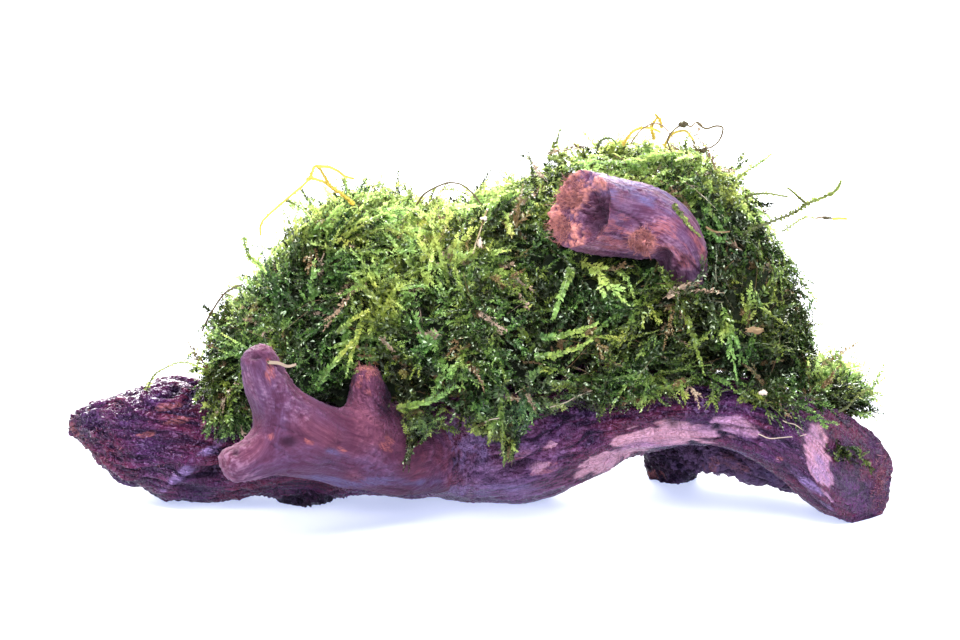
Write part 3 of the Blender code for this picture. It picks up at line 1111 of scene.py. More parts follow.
@dataclass
class CutBranch(Limb):
    """The branch that rises through the moss, with a torn hollow in its cut end.

    HOLLOW is where the photograph shows the hollow, HOLLOW_DEPTH how deep it is.
    """

    HOLLOW: ClassVar[Oval] = Oval((594, 213), (14, 27), -14)
    HOLLOW_DEPTH: ClassVar[float] = 3.4

    def trimmed(self, points: Array, traits: dict[str, Array]) -> Array:
        """The points with the cut end's face torn into coarse fibres."""
        end, along = self.rows[-1, :3], self.frames[-1, :3]
        face = smooth_step(-1.2, 0.3, dot(points - end, along))
        fibres = Noise(61)(points, 1.1, 3) * 0.9 + Noise(62)(points, 4.5) * 1.2
        hollow = self.HOLLOW.weight(points, np.tile(-VIEW.axes()[2], (len(points), 1))) * face
        ragged = smooth_step(0.15, 0.55, fibres * 0.6 + 0.62 - 1.5 * hollow)
        traits["torn"] = np.maximum(traits["torn"], face * ragged)
        # The hollow in the cut end is painted near-black as well as sunk: painted shade
        traits["crack"] = np.maximum(traits["crack"], hollow * 0.92)
        points = points + along * (face * fibres - self.HOLLOW_DEPTH * hollow)[:, None]
        return super().trimmed(points, traits)


TRUNK_MARKS = (
    *marks(Scar.HOLLOW, (522, 466, 25, 5, 26, 3.0), (546, 424, 8, 12, 0, 1.2)),
    *marks(
        Scar.RUST,
        (514, 458, 20, 5, 26, 0.3), (538, 474, 12, 5, 35, 0.3), (562, 430, 9, 12, 0, 0.3),
        (557, 447, 15, 15), (548, 467, 13, 8, 10),
    ),
    *marks(Scar.KNOB, (556, 436, 15, 20, 0, 1.6)),
    *marks(Scar.WET, (580, 436, 24, 20), (450, 455, 45, 14)),
    # Painted sheen: lavender reflections painted on the trunk's front and along its lower edge
    *marks(
        Scar.BLOOM,
        (586, 436, 18, 13), (420, 466, 50, 12, 6), (478, 440, 56, 26), (470, 492, 70, 8),
    ),
    *marks(
        Scar.BARE,
        (554, 444, 9, 8, 30, 0.2), (541, 467, 10, 5, 14, 0.2), (600, 466, 24, 9, 25, 0.4),
    ),
)
LEFT_LIMB_MARKS = (
    *marks(
        Scar.RUST,
        (72, 430, 8, 9, 0, 0.3), (168, 406, 20, 3.5, 10, 0.4), (178, 420, 16, 3.5, 12, 0.4),
        (143, 434, 13, 3.5, 15, 0.3), (207, 421, 9, 6, 0, 0.3),
    ),
    *marks(Scar.WET, (150, 455, 32, 17, 10), (96, 430, 24, 16), (214, 444, 24, 22), (262, 478, 40, 12)),
    # Painted sheen: a lavender reflection painted along the block's lower edge
    *marks(Scar.BLOOM, (195, 462, 44, 5, 38)),
    *marks(Scar.KNOB, (200, 458, 40, 7, 38, 1.4)),
    *marks(Scar.HOLLOW, (212, 472, 18, 6, 25, 1.2)),
)
ARCH_MARKS = (
    *marks(
        Scar.BARE,
        (600, 466, 30, 10, 32, 0.4), (640, 442, 30, 15, 20, 0.4), (684, 434, 38, 16, 0, 0.4),
        (732, 426, 24, 12, -12, 0.4), (833, 462, 20, 38, 24, 0.2),
    ),
    *marks(Scar.HOLLOW, (672, 422, 9, 6, 0, 0.6), (716, 428, 5, 4, 0, 0.5)),
    # Painted sheen: lavender reflections of the floor painted along the arch's lower edges
    *marks(Scar.BLOOM, (700, 452, 50, 5, -4), (815, 488, 34, 5, -43), (836, 474, 13, 26, 24, 0)),
    *marks(Scar.RUST, (780, 458, 5, 3, 0, 0.2)),
    *marks(Scar.KNOB, (812, 486, 34, 4, -43, 1.0)),
    *marks(Scar.WET, (770, 430, 24, 12), (880, 495, 8, 24), (640, 412, 60, 12)),
)
REAR_MARKS = (
    *marks(
        Scar.RUST,
        (742, 462, 26, 10, -20, 0.3), (792, 484, 24, 8, -30, 0.3), (712, 462, 10, 8, 0, 0.3),
    ),
    # Painted sheen: a lavender reflection painted on the rear wall
    *marks(Scar.BLOOM, (775, 470, 60, 12, -26)),
)
REAR_LEG_MARKS = marks(Scar.RUST, (655, 474, 12, 6, 0, 0.3))
LOWER_PRONG_MARKS = marks(Scar.HOLLOW, (236, 452, 4, 4, 0, 0.5))
BRANCH_MARKS = (
    *marks(Scar.TORN, (634, 236, 10, 8, 20, 3.0), (648, 244, 9, 10, 0, 3.6), (598, 184, 9, 5, 0, 0.2)),
    *marks(
        Scar.RUST,
        (690, 250, 18, 26, 0, 0.2), (612, 232, 34, 20, -10, 0.0), (660, 236, 30, 22, -10, 0.0),
    ),
    *marks(Scar.HOLLOW, (664, 258, 7, 9, 0, 1.6)),
    # Painted sheen: the lavender reflection on the branch's top, painted as colour
    *marks(Scar.BLOOM, (640, 190, 66, 20, -14), (612, 180, 30, 9, -8)),
)
BEAM_MARKS = (
    # The second hollow has no depth: it is only a painted dark stripe, painted shade
    *marks(Scar.HOLLOW, (290, 443, 9, 6, 10, 0.7), (391, 412, 7, 26, -8, 0.0)),
    *marks(
        Scar.RUST,
        (309, 446, 6, 10, 0, 0.3), (270, 437, 6, 5, 0, 0.3), (388, 445, 9, 10, 0, 0.3),
        (386, 447, 6, 8, 0, 0.3), (345, 448, 9, 6, 0, 0.2),
    ),
    # Painted sheen: lavender reflections of the floor painted along the beam's lower edge
    *marks(Scar.BLOOM, (345, 482, 90, 5), (330, 456, 11, 7)),
    *marks(Scar.WET, (390, 412, 10, 20)),
)
STUB_MARKS = (
    *marks(Scar.TORN, (366, 367, 12, 3, 0, 0.6)),
    *marks(Scar.RUST, (364, 382, 16, 18, 0, 0.3), (372, 376, 12, 12, 0, 0.2)),
    *marks(Scar.WET, (385, 405, 12, 20)),
    # This hollow has no depth: it is only a painted dark stripe, painted shade
    *marks(Scar.HOLLOW, (386, 398, 7, 22, -8, 0.0)),
)
UPPER_PRONG_MARKS = (
    *marks(Scar.HOLLOW, (256, 355, 9, 4, 0, 0.8)),
    *marks(Scar.RUST, (270, 372, 5, 16, 0, 0.2)),
)

# The limbs' stations: x, y, z, half width across and half height, as in part.py
TRUNK_LINE = (
    (-34, 2, 13, 13, 11), (-22, 2, 15, 17, 14.4), (-8, 2, 16.5, 19.5, 16.6), (6, 2, 17.2, 20.5, 17.6),
    (18, 2, 19.6, 19.5, 16.2), (29, 2, 24, 16.5, 11.8), (38, 2, 26.2, 11, 8),
)
LEFT_LIMB_LINE = (
    (-101, 6, 16.6, 3.2, 3), (-96, 6, 17.2, 9, 5.4), (-87, 5, 15.8, 14, 10.2),
    (-77.5, 4, 15.2, 17, 13.4), (-68, 4, 13.6, 17.5, 13.8), (-56, 3, 12.8, 16.5, 11.4),
    (-40, 2, 12.2, 15, 10.4), (-22, 1, 14, 13, 10),
)
ARCH_LINE = (
    (10, -3, 18, 12, 11), (22, -5, 20.6, 14.5, 12), (36, -8, 23.6, 13, 9.6), (51, -11, 25.8, 12.5, 8.8),
    (65, -12, 24.2, 12.5, 9.2), (77, -14, 19.2, 12.8, 10.6), (87, -15, 13.2, 12.8, 12),
    (94, -16, 9.8, 11.6, 11.6), (100, -16, 8.6, 8.8, 9.4),
)
REAR_LIMB_LINE = (
    (26, 11, 24, 10, 9), (40, 16, 22.5, 9.5, 11.2), (52, 16, 17.8, 8, 12.4), (64, 11, 13.8, 6.5, 11),
    (75, 4, 10.4, 6, 8.8), (85, -4, 8.8, 6, 8),
)
REAR_LEG_LINE = (
    (50, 18, 16, 7.6, 6.6), (49.7, 19, 8, 7.6, 6.4), (49.3, 19.5, 3, 7, 5.6),
    (49, 19.5, -0.6, 5.6, 4.4),
)
ROOT_KNOB_LINE = (
    (-43, -1, 10, 6.4, 6.4), (-43.2, -2, 5, 6.4, 6.2), (-43.4, -2, 1.5, 5.8, 5.4),
    (-43.4, -2, -0.6, 4.4, 3.8),
)
BRANCH_LINE = (
    (45, 6, 24, 8, 8), (45.6, 3, 36.9, 6.6, 6.4), (47, -7, 50.4, 5.4, 5.6), (48, -14, 60.6, 5.4, 5.8),
    (46.6, -17.2, 67, 6.4, 6.8), (42.6, -17.5, 70.8, 7.6, 7.8), (36.8, -17.8, 72.8, 8.4, 8.4),
    (29, -21.5, 74.7, 8.8, 8.6), (22.8, -27.2, 77, 8.8, 8.6),
)
BEAM_LINE = (
    (-8, -7.5, 15, 7.6, 9.2), (-20, -20, 16.5, 8.5, 9.5), (-28.5, -28, 19.8, 7.8, 8.8),
    (-36, -34, 23, 7.2, 8.4), (-43, -38, 26, 6.4, 7.8), (-48, -41, 27.6, 4.6, 5.6),
)
UPPER_PRONG_LINE = (
    (-40, -36, 26, 6.8, 6), (-45.2, -40, 33.5, 6.2, 5.2), (-48, -43, 39.5, 4.8, 4.5),
    (-49.6, -45, 44.5, 4, 4.1), (-50.3, -46, 47, 3.6, 3.8),
)
LOWER_PRONG_LINE = (
    (-43.5, -38, 25, 5, 5.4), (-49, -42, 23.2, 4.2, 4.5), (-53, -45, 22.2, 3.8, 4),
    (-56, -47, 21.6, 3.6, 3.8),
)
STUB_LINE = (
    (-23.5, -23, 19, 6.6, 6.6), (-25, -26, 27, 5.6, 5.4), (-26, -28, 34, 4.2, 4.6),
    (-26.4, -29, 39, 3, 3.4),
)

TRUNK_GRAIN = Grain(lumps=0.9, furrows=0.24, lines=0.14, cracks=0.4, width=2.2)
ARCH_GRAIN = Grain(lumps=0.7, furrows=0.34, lines=0.12, cracks=0.5, width=2.6)
SOFT = Grain(lumps=0.5, furrows=0.12, lines=0.11, cracks=0.10, pits=0.06, width=2.0, ledges=0.12)
DEEP = Grain(0.9, 0.46, 0.30, 0.8, 0.08, 1.7, 30.0, ledges=1.1, layer=4.8, grit=0.14)
ROUGH = Grain(1.5, 0.7, 0.2, 0.6, 0.5, 2.4, 12.0, ledges=0.8, layer=4.5, grit=0.8)


def driftwood() -> list[Limb]:
    """Every limb of the wood, in the order of the solids' seeds.

    Returns:
        The limbs.
    """
    wet = {"finish": WET_WOOD.name}
    bark = {"finish": DARK_BARK.name, "grain": ROUGH}
    smooth = {"finish": SMOOTH_BRANCH.name, "grain": SOFT, "step": 0.4}
    return [
        Limb(
            "trunk", TRUNK_LINE, seed=0, **wet, grain=TRUNK_GRAIN, marks=TRUNK_MARKS,
            meets=("left_limb", "arch", "fork_beam", "rear_limb"), start=67.0, worn=0.65,
        ),
        Limb(
            "left_limb", LEFT_LIMB_LINE, seed=1, **wet, grain=DEEP, marks=LEFT_LIMB_MARKS,
            meets=("trunk", "root_knob", "fork_beam"), step=0.38, damp=0.46, worn=0.08,
        ),
        Arch(
            "arch", ARCH_LINE, seed=2, **wet, grain=ARCH_GRAIN, marks=ARCH_MARKS,
            meets=("trunk", "rear_limb"), blunt=True, start=112.0, damp=0.4, worn=0.12,
        ),
        Limb(
            "rear_limb", REAR_LIMB_LINE, seed=3, **bark, marks=REAR_MARKS,
            meets=("trunk", "arch", "rear_leg"), start=120.0, worn=0.8,
        ),
        Limb(
            "rear_leg", REAR_LEG_LINE, seed=4, **bark, marks=REAR_LEG_MARKS,
            meets=("rear_limb",), damp=0.7,
        ),
        Limb("root_knob", ROOT_KNOB_LINE, seed=5, **bark, meets=("left_limb",), damp=0.9),
        CutBranch(
            "upper_branch", BRANCH_LINE, seed=6, **smooth, marks=BRANCH_MARKS,
            blunt=True, damp=0.25, worn=0.4,
        ),
        Limb(
            "fork_beam", BEAM_LINE, seed=7, **smooth, marks=BEAM_MARKS,
            meets=("trunk", "fork_upper_prong", "fork_lower_prong", "fork_side_stub"),
            start=80.0, damp=0.2,
        ),
        Limb(
            "fork_upper_prong", UPPER_PRONG_LINE, seed=8, **smooth, marks=UPPER_PRONG_MARKS,
            meets=("fork_beam", "fork_lower_prong"), start=112.0, damp=0.15, worn=0.28,
        ),
        Limb(
            "fork_lower_prong", LOWER_PRONG_LINE, seed=9, **smooth, marks=LOWER_PRONG_MARKS,
            meets=("fork_beam", "fork_upper_prong"), start=118.0, damp=0.15, worn=0.42,
        ),
        Limb(
            "fork_side_stub", STUB_LINE, seed=10, **smooth, marks=STUB_MARKS,
            meets=("fork_beam",), start=95.0, damp=0.3,
        ),
    ]


# The moss


def between(pairs: Array, share: Array) -> Array:
    """The value at a share of the way from each pair's first number to its second."""
    return pairs[:, :1] + (pairs[:, 1:] - pairs[:, :1]) * share


@dataclass
class Shoots:
    """Curved stems side by side in arrays, each with its own leaves.

    Attributes:
        paths: points along each stem, stems by samples by three.
        facing: the direction that each stem's spray faces.
        width: each stem's width at its foot.
        leaf: the length of each stem's leaves, or 0 for a bare stem.
        fresh_and_lit: how young each stem is at its foot and at its tip, two columns; on the mounds'
            sprays it also holds painted light and shade.
        dead: how dead each stem is, 1 for brown and 2 for bleached, or -1 for golden.
        thinning: how much thinner a stem is at its tip, as a share.

    SPACING is the distance between leaves, LEAF_WIDTH a leaf's width as a share of its length.
    """

    paths: Array
    facing: Array
    width: Array
    leaf: Array
    fresh_and_lit: Array
    dead: Array
    thinning: float = 0.75

    SPACING: ClassVar[float] = 0.29
    LEAF_WIDTH: ClassVar[float] = 0.62

    def picked(self, chosen: Array) -> "Shoots":
        """Only the chosen stems."""
        kept = (self.paths, self.facing, self.width, self.leaf, self.fresh_and_lit, self.dead)
        return Shoots(*(values[chosen] for values in kept), self.thinning)

    def read(self, owner: Array, share: Array) -> tuple[Array, Array]:
        """The point and direction at a share of the way along some stems."""
        samples = self.paths.shape[1]
        spot = np.clip(share, 0.0, 1.0) * (samples - 1)
        i = np.minimum(spot.astype(int), samples - 2)
        t = (spot - i)[:, None]
        start, end = self.paths[owner, i], self.paths[owner, i + 1]
        return start + (end - start) * t, unit(end - start)

    def lengths(self) -> Array:
        """Each stem's length."""
        return np.linalg.norm(np.diff(self.paths, axis=1), axis=2).sum(1)

    def stems(self) -> Shape:
        """Three-sided tubes that taper along each path."""
        count, samples, _ = self.paths.shape
        along = unit(np.gradient(self.paths, axis=1))
        side = unit(np.cross(along, self.facing[:, None]))
        up = np.cross(side, along)
        share = np.linspace(0.0, 1.0, samples)
        radius = (self.width[:, None] * (1.0 - self.thinning * share))[..., None, None] / 2
        angle = np.arange(3) * 2 * math.pi / 3
        turn = np.stack([np.cos(angle), np.sin(angle)], 1)
        ring = side[:, :, None] * turn[:, 0, None] + up[:, :, None] * turn[:, 1, None]
        points = (self.paths[:, :, None] + ring * radius).reshape(-1, 3)
        a, b = np.arange(3), (np.arange(3) + 1) % 3
        quad = np.stack([a, b, b + 3, a, b + 3, a + 3], 1).reshape(-1, 3)
        tube = np.concatenate([quad + 3 * ring for ring in range(samples - 1)])
        faces = (tube[None] + 3 * samples * np.arange(count)[:, None, None]).reshape(-1, 3)
        fresh_and_lit = between(self.fresh_and_lit, share[None])
        dead = np.where(self.dead < 0.0, self.dead, np.maximum(self.dead, 0.2))
        traits = {
            "fresh_and_lit": np.repeat(fresh_and_lit.ravel() * 0.85, 3),
            "dead": np.repeat(dead, samples * 3),
            "wet": np.full(len(points), 0.5),
        }
        return Shape(points, faces, traits)

    def leaves(self, rng: Draws, bare: float = 0.1) -> Shape:
        """Two ranks of folded, pointed leaves along each stem.

        A leaf's points are its foot, its two sides at four tenths of its length, and its
        tip; the sides stand above the midrib and the tip curls.

        Args:
            rng: draws the leaves' variety.
            bare: the share of the stem without leaves, from its foot.

        Returns:
            The leaves, two triangles each.
        """
        count = (self.lengths() * (1.0 - bare) / self.SPACING).astype(int)
        count = np.where(self.leaf > 0.0, count, 0)
        owner = np.repeat(np.arange(len(count)), count)
        index = np.arange(len(owner)) - np.repeat(np.cumsum(count) - count, count)
        share = bare + (1.0 - bare) * (index + 0.6) / np.maximum(count[owner], 1)
        foot, along = self.read(owner, share)
        facing = self.facing[owner]
        facing = unit(facing - along * dot(facing, along)[:, None])
        hand = np.where(index % 2, 1.0, -1.0)[:, None]
        side = np.cross(along, facing) * hand
        spread = np.radians(50.0 - 26.0 * share + rng.normal(0.0, 11.0, len(owner)))[:, None]
        lift = rng.normal(0.15, 0.38, len(owner))[:, None]
        axis = unit(along * np.cos(spread) + side * np.sin(spread) + facing * lift)
        long = self.leaf[owner] * (1.0 - 0.5 * share**3) * rng.uniform(0.7, 1.2, len(owner))
        long = long[:, None]
        roll = facing + side * rng.normal(0.0, 0.35, lift.shape)
        across = unit(np.cross(roll, axis)) * (self.LEAF_WIDTH / 2) * long
        keel = facing * long * rng.uniform(0.05, 0.2, len(owner))[:, None]
        waist = foot + axis * long * 0.42 + keel
        tip = foot + axis * long - facing * long * rng.normal(0.12, 0.14, len(owner))[:, None]
        points = np.stack([foot, waist + across, tip, waist - across], 1).reshape(-1, 3)
        first = 4 * np.arange(len(owner))[:, None]
        faces = np.concatenate([first + (0, 1, 2), first + (0, 2, 3)])
        fresh_and_lit = between(self.fresh_and_lit[owner], share[:, None])[:, 0]
        fresh_and_lit = np.clip(fresh_and_lit + rng.normal(0.0, 0.07, len(owner)), 0.0, 1.0)
        wet = np.where(rng.random(len(owner)) < 0.45, 1.0, rng.uniform(0.0, 0.9, len(owner)))
        traits = {
            "fresh_and_lit": np.repeat(fresh_and_lit, 4),
            "dead": np.repeat(self.dead[owner], 4),
            "wet": np.repeat(wet, 4),
        }
        return Shape(points, faces, traits)

    def shape(self, rng: Draws, bare: float = 0.1) -> Shape:
        """The stems and their leaves together."""
        return Shape.joined([self.stems(), self.leaves(rng, bare)])


def smooth_surface(node: str) -> tuple[Array, Array, Array]:
    """A solid's points, triangles and smooth normals."""
    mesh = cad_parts[node].data
    raw = np.zeros(len(mesh.vertices) * 3, np.float32)
    mesh.vertices.foreach_get("co", raw)
    mesh.calc_loop_triangles()
    corners = np.zeros(len(mesh.loop_triangles) * 3, np.int32)
    mesh.loop_triangles.foreach_get("vertices", corners)
    points = raw.reshape(-1, 3).astype(float) / MM
    _, first, same = np.unique(points.round(2), axis=0, return_index=True, return_inverse=True)
    faces = same.reshape(-1)[corners].reshape(-1, 3)
    return points[first], faces, vertex_normals(points[first], faces)


class Neighbourhood:
    """The solids of the frame, to keep growth off them or to lay loose stems on them."""

    def __init__(self) -> None:
        """Builds a search tree of each solid."""
        self.trees = {}
        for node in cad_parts:
            points, faces, _ = smooth_surface(node)
            self.trees[node] = BVHTree.FromPolygons(points.tolist(), faces.tolist())

    def gap(self, spots: Array, own: str) -> Array:
        """The distance from each spot to the nearest solid but its own."""
        trees = [tree for node, tree in self.trees.items() if node != own]
        return np.array([min(tree.find_nearest(spot)[3] for tree in trees) for spot in spots])

    def landed(self, spots: Array, lift: float) -> Array:
        """Carries spots along the photograph's lines of sight onto the solids.

        Args:
            spots: places.
            lift: how far in front of the solid they are left.

        Returns:
            The places. A spot whose line of sight meets nothing stays where it is.
        """
        eye = Vector(VIEW.position)
        met = []
        for spot in spots:
            way = (Vector(spot) - eye).normalized()
            hits = [tree.ray_cast(eye, way)[3] for tree in self.trees.values()]
            reach = min((hit for hit in hits if hit is not None), default=None)
            met.append(spot if reach is None else eye + way * (reach - lift))
        return np.array(met)


@dataclass(frozen=True)
class Opening(Oval):
    """A place where the photograph shows the wood, so that no moss lies before it.

    Attributes:
        before: the y in front of which it is kept open.
    """

    before: float = 0.0

    def holds(self, points: Array) -> Array:
        """Which points lie in the opening."""
        return (self.distance(points) < 1.0) & (points[:, 1] < self.before)


# A pixel, half width and height, the turn, and the y in front of which it is open
OPENINGS = tuple(Opening(row[:2], row[2:4], *row[4:]) for row in (
    (582, 212, 37, 37, 0, -8), (640, 219, 52, 33, -10, -8), (684, 242, 22, 40, 0, -8),
    (256, 385, 20, 42, -8, -15), (330, 440, 78, 38, 0, -15), (367, 392, 18, 28, 0, -15),
    (130, 435, 72, 52, 0, 30), (225, 470, 40, 26, 0, -8), (455, 462, 48, 27, 0, -8),
    (480, 490, 70, 22, 0, 0), (562, 450, 46, 36, 15, -8), (660, 434, 80, 24, 4, -8),
    (775, 458, 60, 28, -32, -8), (862, 485, 44, 46, -20, 0),
))


@dataclass(frozen=True)
class Habit:
    """How one layer of growth stands.

    Attributes:
        count: how many sprays are wanted.
        long: the least and greatest length.
        deep: how far below the outside they spring, least and greatest.
        outward: how much they point out of the mat at their foot.
        leaf: the mean length of a leaf.
        sides: the least and greatest number of side branches.
        samples: the points along a stem.
        young: their freshness at the foot.
        tip: how much fresher they are at the tip, at most.
        stray: how far a tip may stand clear of the mat.
        bare: the share of them that are leafless brown stems.
    """

    count: int
    long: Row = (9.0, 21.0)
    deep: Row = (1.0, 7.0)
    outward: float = 0.5
    leaf: float = 1.5
    sides: tuple[int, int] = (0, 4)
    samples: int = 6
    young: float = 0.30
    tip: float = 0.30
    stray: float = 1.3
    bare: float = 0.0


# What is added to a part's name for each of its meshes, by how many it has
PORTIONS = {1: ("",), 2: ("_front", "_back"), 3: ("_front", "_middle", "_back")}
# The furthest back that a shoot reaches, and how far it stays off the wood
REARMOST = 52.0
OFF_WOOD = 0.6
# How far a shoot springs from the next solid, and how many places are tried for each
OFF_SOLIDS = 0.9
TRIES = 3
# The mat's distance between rings, its depth below the outside, and its sides
MAT_STEP = 1.1
MAT_DEPTH = 9.5
MAT_SIDES = 180


@dataclass
class MossPart:
    """A mound or tuft of moss.

    Attributes:
        node: the solid that it stands for.
        slot: its finish.
        layers: its layers of growth.
        hang: how far its sprays turn down, in shares of their length.
        lift: how far its sprays stand up.
        tone: what is added to each spray's freshness.
        seed: draws its variety.
        core: the stations of the matted growth inside it, if it is thick.
        pieces: how many meshes it is split into, front to back.
        low: the least height of its shoots.
        openings: the places that it keeps free.
    """

    node: str
    slot: str
    layers: tuple[Habit, ...]
    hang: float = 0.1
    lift: float = 0.25
    tone: float = 0.0
    seed: int = 0
    core: tuple[Row, ...] = ()
    pieces: int = 1
    low: float = 1.0
    openings: tuple[Opening, ...] = OPENINGS

    def scattered(self, count: int, rng: Draws) -> tuple[Array, Array]:
        """Points spread by area over the solid's outside, with their normals."""
        points, faces, normals = smooth_surface(self.node)
        a, b, c = (points[faces[:, k]] for k in range(3))
        area = np.linalg.norm(np.cross(b - a, c - a), axis=1)
        pick = rng.choice(len(faces), count, p=area / area.sum())
        u, v = rng.random((2, count))
        over = u + v > 1.0
        u, v = np.where(over, 1.0 - u, u)[:, None], np.where(over, 1.0 - v, v)[:, None]
        shares = (1.0 - u - v, u, v)
        spots = sum(s * points[faces[pick, k]] for k, s in enumerate(shares))
        faced = sum(s * normals[faces[pick, k]] for k, s in enumerate(shares))
        return spots, unit(faced)

    def combed(self, spots: Array, faced: Array, rng: Draws) -> Array:
        """The way that sprays lie: a slow noise with a push upwards, and strays of its own."""
        slow = np.stack([Noise(70 + k)(spots, 19.0) for k in range(3)], 1) * 1.3
        slow = slow + np.array((0.0, -0.1, self.lift - self.hang))
        slow = slow + rng.normal(0.0, 0.6, spots.shape)
        return unit(slow - faced * dot(slow, faced)[:, None])

    def sprays(self, spots: Array, faced: Array, habit: Habit, rng: Draws) -> Shoots:
        """The main stems: cubic curves that leave the mat and then lie along it.

        Args:
            spots: places on the moss's outside.
            faced: the normals there.
            habit: how they stand.
            rng: draws their variety.

        Returns:
            The stems.
        """
        count = len(spots)
        lie = self.combed(spots, faced, rng)
        long = rng.uniform(*habit.long, count)[:, None] * rng.uniform(0.75, 1.0, count)[:, None]
        deep = rng.uniform(*habit.deep, count)[:, None]
        tuft = Noise(75)(spots, 12.0, 2)[:, None]
        upward = np.clip(faced[:, 2:], 0.0, 1.0)
        rise = rng.normal(0.0, habit.stray, count)[:, None] + 2.0 * tuft
        rise = rise + (upward + 0.15) * rng.exponential(habit.stray, count)[:, None]
        down = np.array((0.0, 0.0, -1.0))
        root = spots - faced * (deep + 1.0)
        bend = rng.normal(0.0, 0.18, (count, 1)) * long * np.cross(lie, faced)
        first = root + (faced * habit.outward + lie * 0.5) * long * 0.33
        second = root + lie * long * 0.62 + faced * (deep * 0.7 + rise * 0.5) + bend
        last = root + lie * long * 0.95 + faced * (deep * 0.75 + rise) + bend * 1.8
        last = last + faced * long * np.clip(habit.outward - 0.5, 0.0, 1.0) * 0.6
        last = last + down * long * (self.hang * rng.uniform(0.2, 1.4, count)[:, None])
        t = np.linspace(0.0, 1.0, habit.samples)[None, :, None]
        ends = [p[:, None] for p in (root, first, second, last)]
        paths = ends[0] * (1 - t) ** 3 + 3 * ends[1] * t * (1 - t) ** 2
        paths = paths + 3 * ends[2] * t**2 * (1 - t) + ends[3] * t**3
        roll = rng.normal(0.0, 0.5, (count, 3))
        # Painted shade and light: sprays that spring deep in the mat are made less fresh and so darker,
        # and sprays on upward faces fresher and so brighter and more translucent
        shallow = 1.0 - deep[:, 0] / 8.0
        young = habit.young * (0.45 + 0.55 * shallow) + 0.36 * upward[:, 0] ** 2 + self.tone
        young = young + 0.26 * Noise(76)(spots, 15.0, 2) + 0.14 * Noise(77)(spots, 5.0, 2)
        young = young + rng.normal(0.0, 0.1, count)
        fresh_and_lit = np.stack([young, young + rng.uniform(0.02, habit.tip, count)], 1)
        leaf = np.clip(rng.normal(habit.leaf, 0.2, count), 0.7, 2.1)
        dead = (rng.random(count) < 0.05) * rng.uniform(0.5, 1.3, count)
        bare = rng.random(count) < habit.bare
        leaf, dead = np.where(bare, 0.0, leaf), np.where(bare, rng.uniform(0.4, 1.5, count), dead)
        width = rng.uniform(0.16, 0.28, count)
        return Shoots(paths, unit(faced + roll), width, leaf, np.clip(fresh_and_lit, 0.0, 1.0), dead)

    def side_shoots(self, sprays: Shoots, habit: Habit, rng: Draws) -> Shoots:
        """Short branches that leave the main stems by turns to the left and right.

        Args:
            sprays: the main stems.
            habit: how many they have.
            rng: draws their variety.

        Returns:
            The branches.
        """
        count = len(sprays.width)
        many = rng.integers(habit.sides[0], habit.sides[1] + 1, count)
        owner = np.repeat(np.arange(count), many)
        index = np.arange(len(owner)) - np.repeat(np.cumsum(many) - many, many)
        share = 0.2 + 0.62 * (index + rng.random(len(owner))) / many[owner]
        foot, along = sprays.read(owner, share)
        facing = unit(sprays.facing[owner] + rng.normal(0.0, 0.25, (len(owner), 3)))
        hand = np.where((index + owner) % 2, 1.0, -1.0)[:, None]
        side = unit(np.cross(along, facing)) * hand
        long = sprays.lengths()[owner] * rng.uniform(0.18, 0.45, len(owner)) * (1.1 - 0.6 * share)
        long = long[:, None]
        spread = np.radians(rng.uniform(32.0, 58.0, len(owner)))[:, None]
        way = unit(along * np.cos(spread) + side * np.sin(spread))
        out = facing * rng.normal(0.0, 0.12, long.shape)
        tip = foot + (unit(way + along * 0.5) + out) * long
        paths = np.stack([foot, foot + way * long * 0.5, tip], 1)
        here = between(sprays.fresh_and_lit[owner], share[:, None])
        fresh_and_lit = np.clip(np.concatenate([here, here + 0.14], 1), 0.0, 1.0)
        width = sprays.width[owner] * 0.7
        leaf = sprays.leaf[owner] * rng.uniform(0.7, 0.95, len(owner))
        return Shoots(paths, facing, width, leaf, fresh_and_lit, sprays.dead[owner])

    def clear(self, sprays: Shoots, limbs: list[Limb]) -> Shoots:
        """Only the sprays that neither enter the wood nor cover what the openings keep free."""
        count, samples, _ = sprays.paths.shape
        points = sprays.paths[:, 1:].reshape(-1, 3)
        kept = points.reshape(count, samples - 1, 3)[..., 2].min(1) > self.low
        kept &= points.reshape(count, samples - 1, 3)[..., 1].max(1) < REARMOST
        for limb in limbs:
            away = limb.local(points)[0].reshape(count, samples - 1)
            kept &= away[:, 1:].min(1) > OFF_WOOD
        for opening in self.openings:
            kept &= ~opening.holds(points).reshape(count, samples - 1).any(1)
        return sprays.picked(kept)

    def mat(self) -> Shape:
        """The matted old growth behind the shoots.

        Its rings are ovals a cos(t), b sin(t), squared a little, that lean back and narrow
        upwards, drawn in from the mound's outside and crumpled by noise.

        Returns:
            A closed, crumpled, near-black skin: old growth, with the shade inside the mound painted
            into its colour.
        """
        stations = table(self.core)
        rings = int(np.ptp(stations[:, 0]) / MAT_STEP)
        rows = through(stations, np.linspace(0.0, 1.0, rings))
        half = np.maximum(rows[:, 3:] - MAT_DEPTH, 1.0)
        angle = np.linspace(0.0, 2 * math.pi, MAT_SIDES, endpoint=False)
        tall, wide = (np.sign(w) * np.abs(w) ** (2.0 / 2.4) for w in (np.sin(angle), np.cos(angle)))
        breadth = half[:, :1] * wide * (1.0 - 0.22 * tall) - 0.20 * half[:, 1:] * tall
        rise = half[:, 1:] * tall
        ring = np.stack([np.zeros_like(rise), -breadth, rise], -1) + rows[:, None, :3]
        points = np.concatenate([ring.reshape(-1, 3), rows[[0, -1], :3]])
        faces = closed_grid_faces(rings, MAT_SIDES)
        normals = vertex_normals(points, faces)
        crumple = 2.6 * Noise(80)(points, 7.0, 2) + 2.0 * np.abs(Noise(82)(points, 3.0, 2))
        points = points + normals * crumple[:, None]
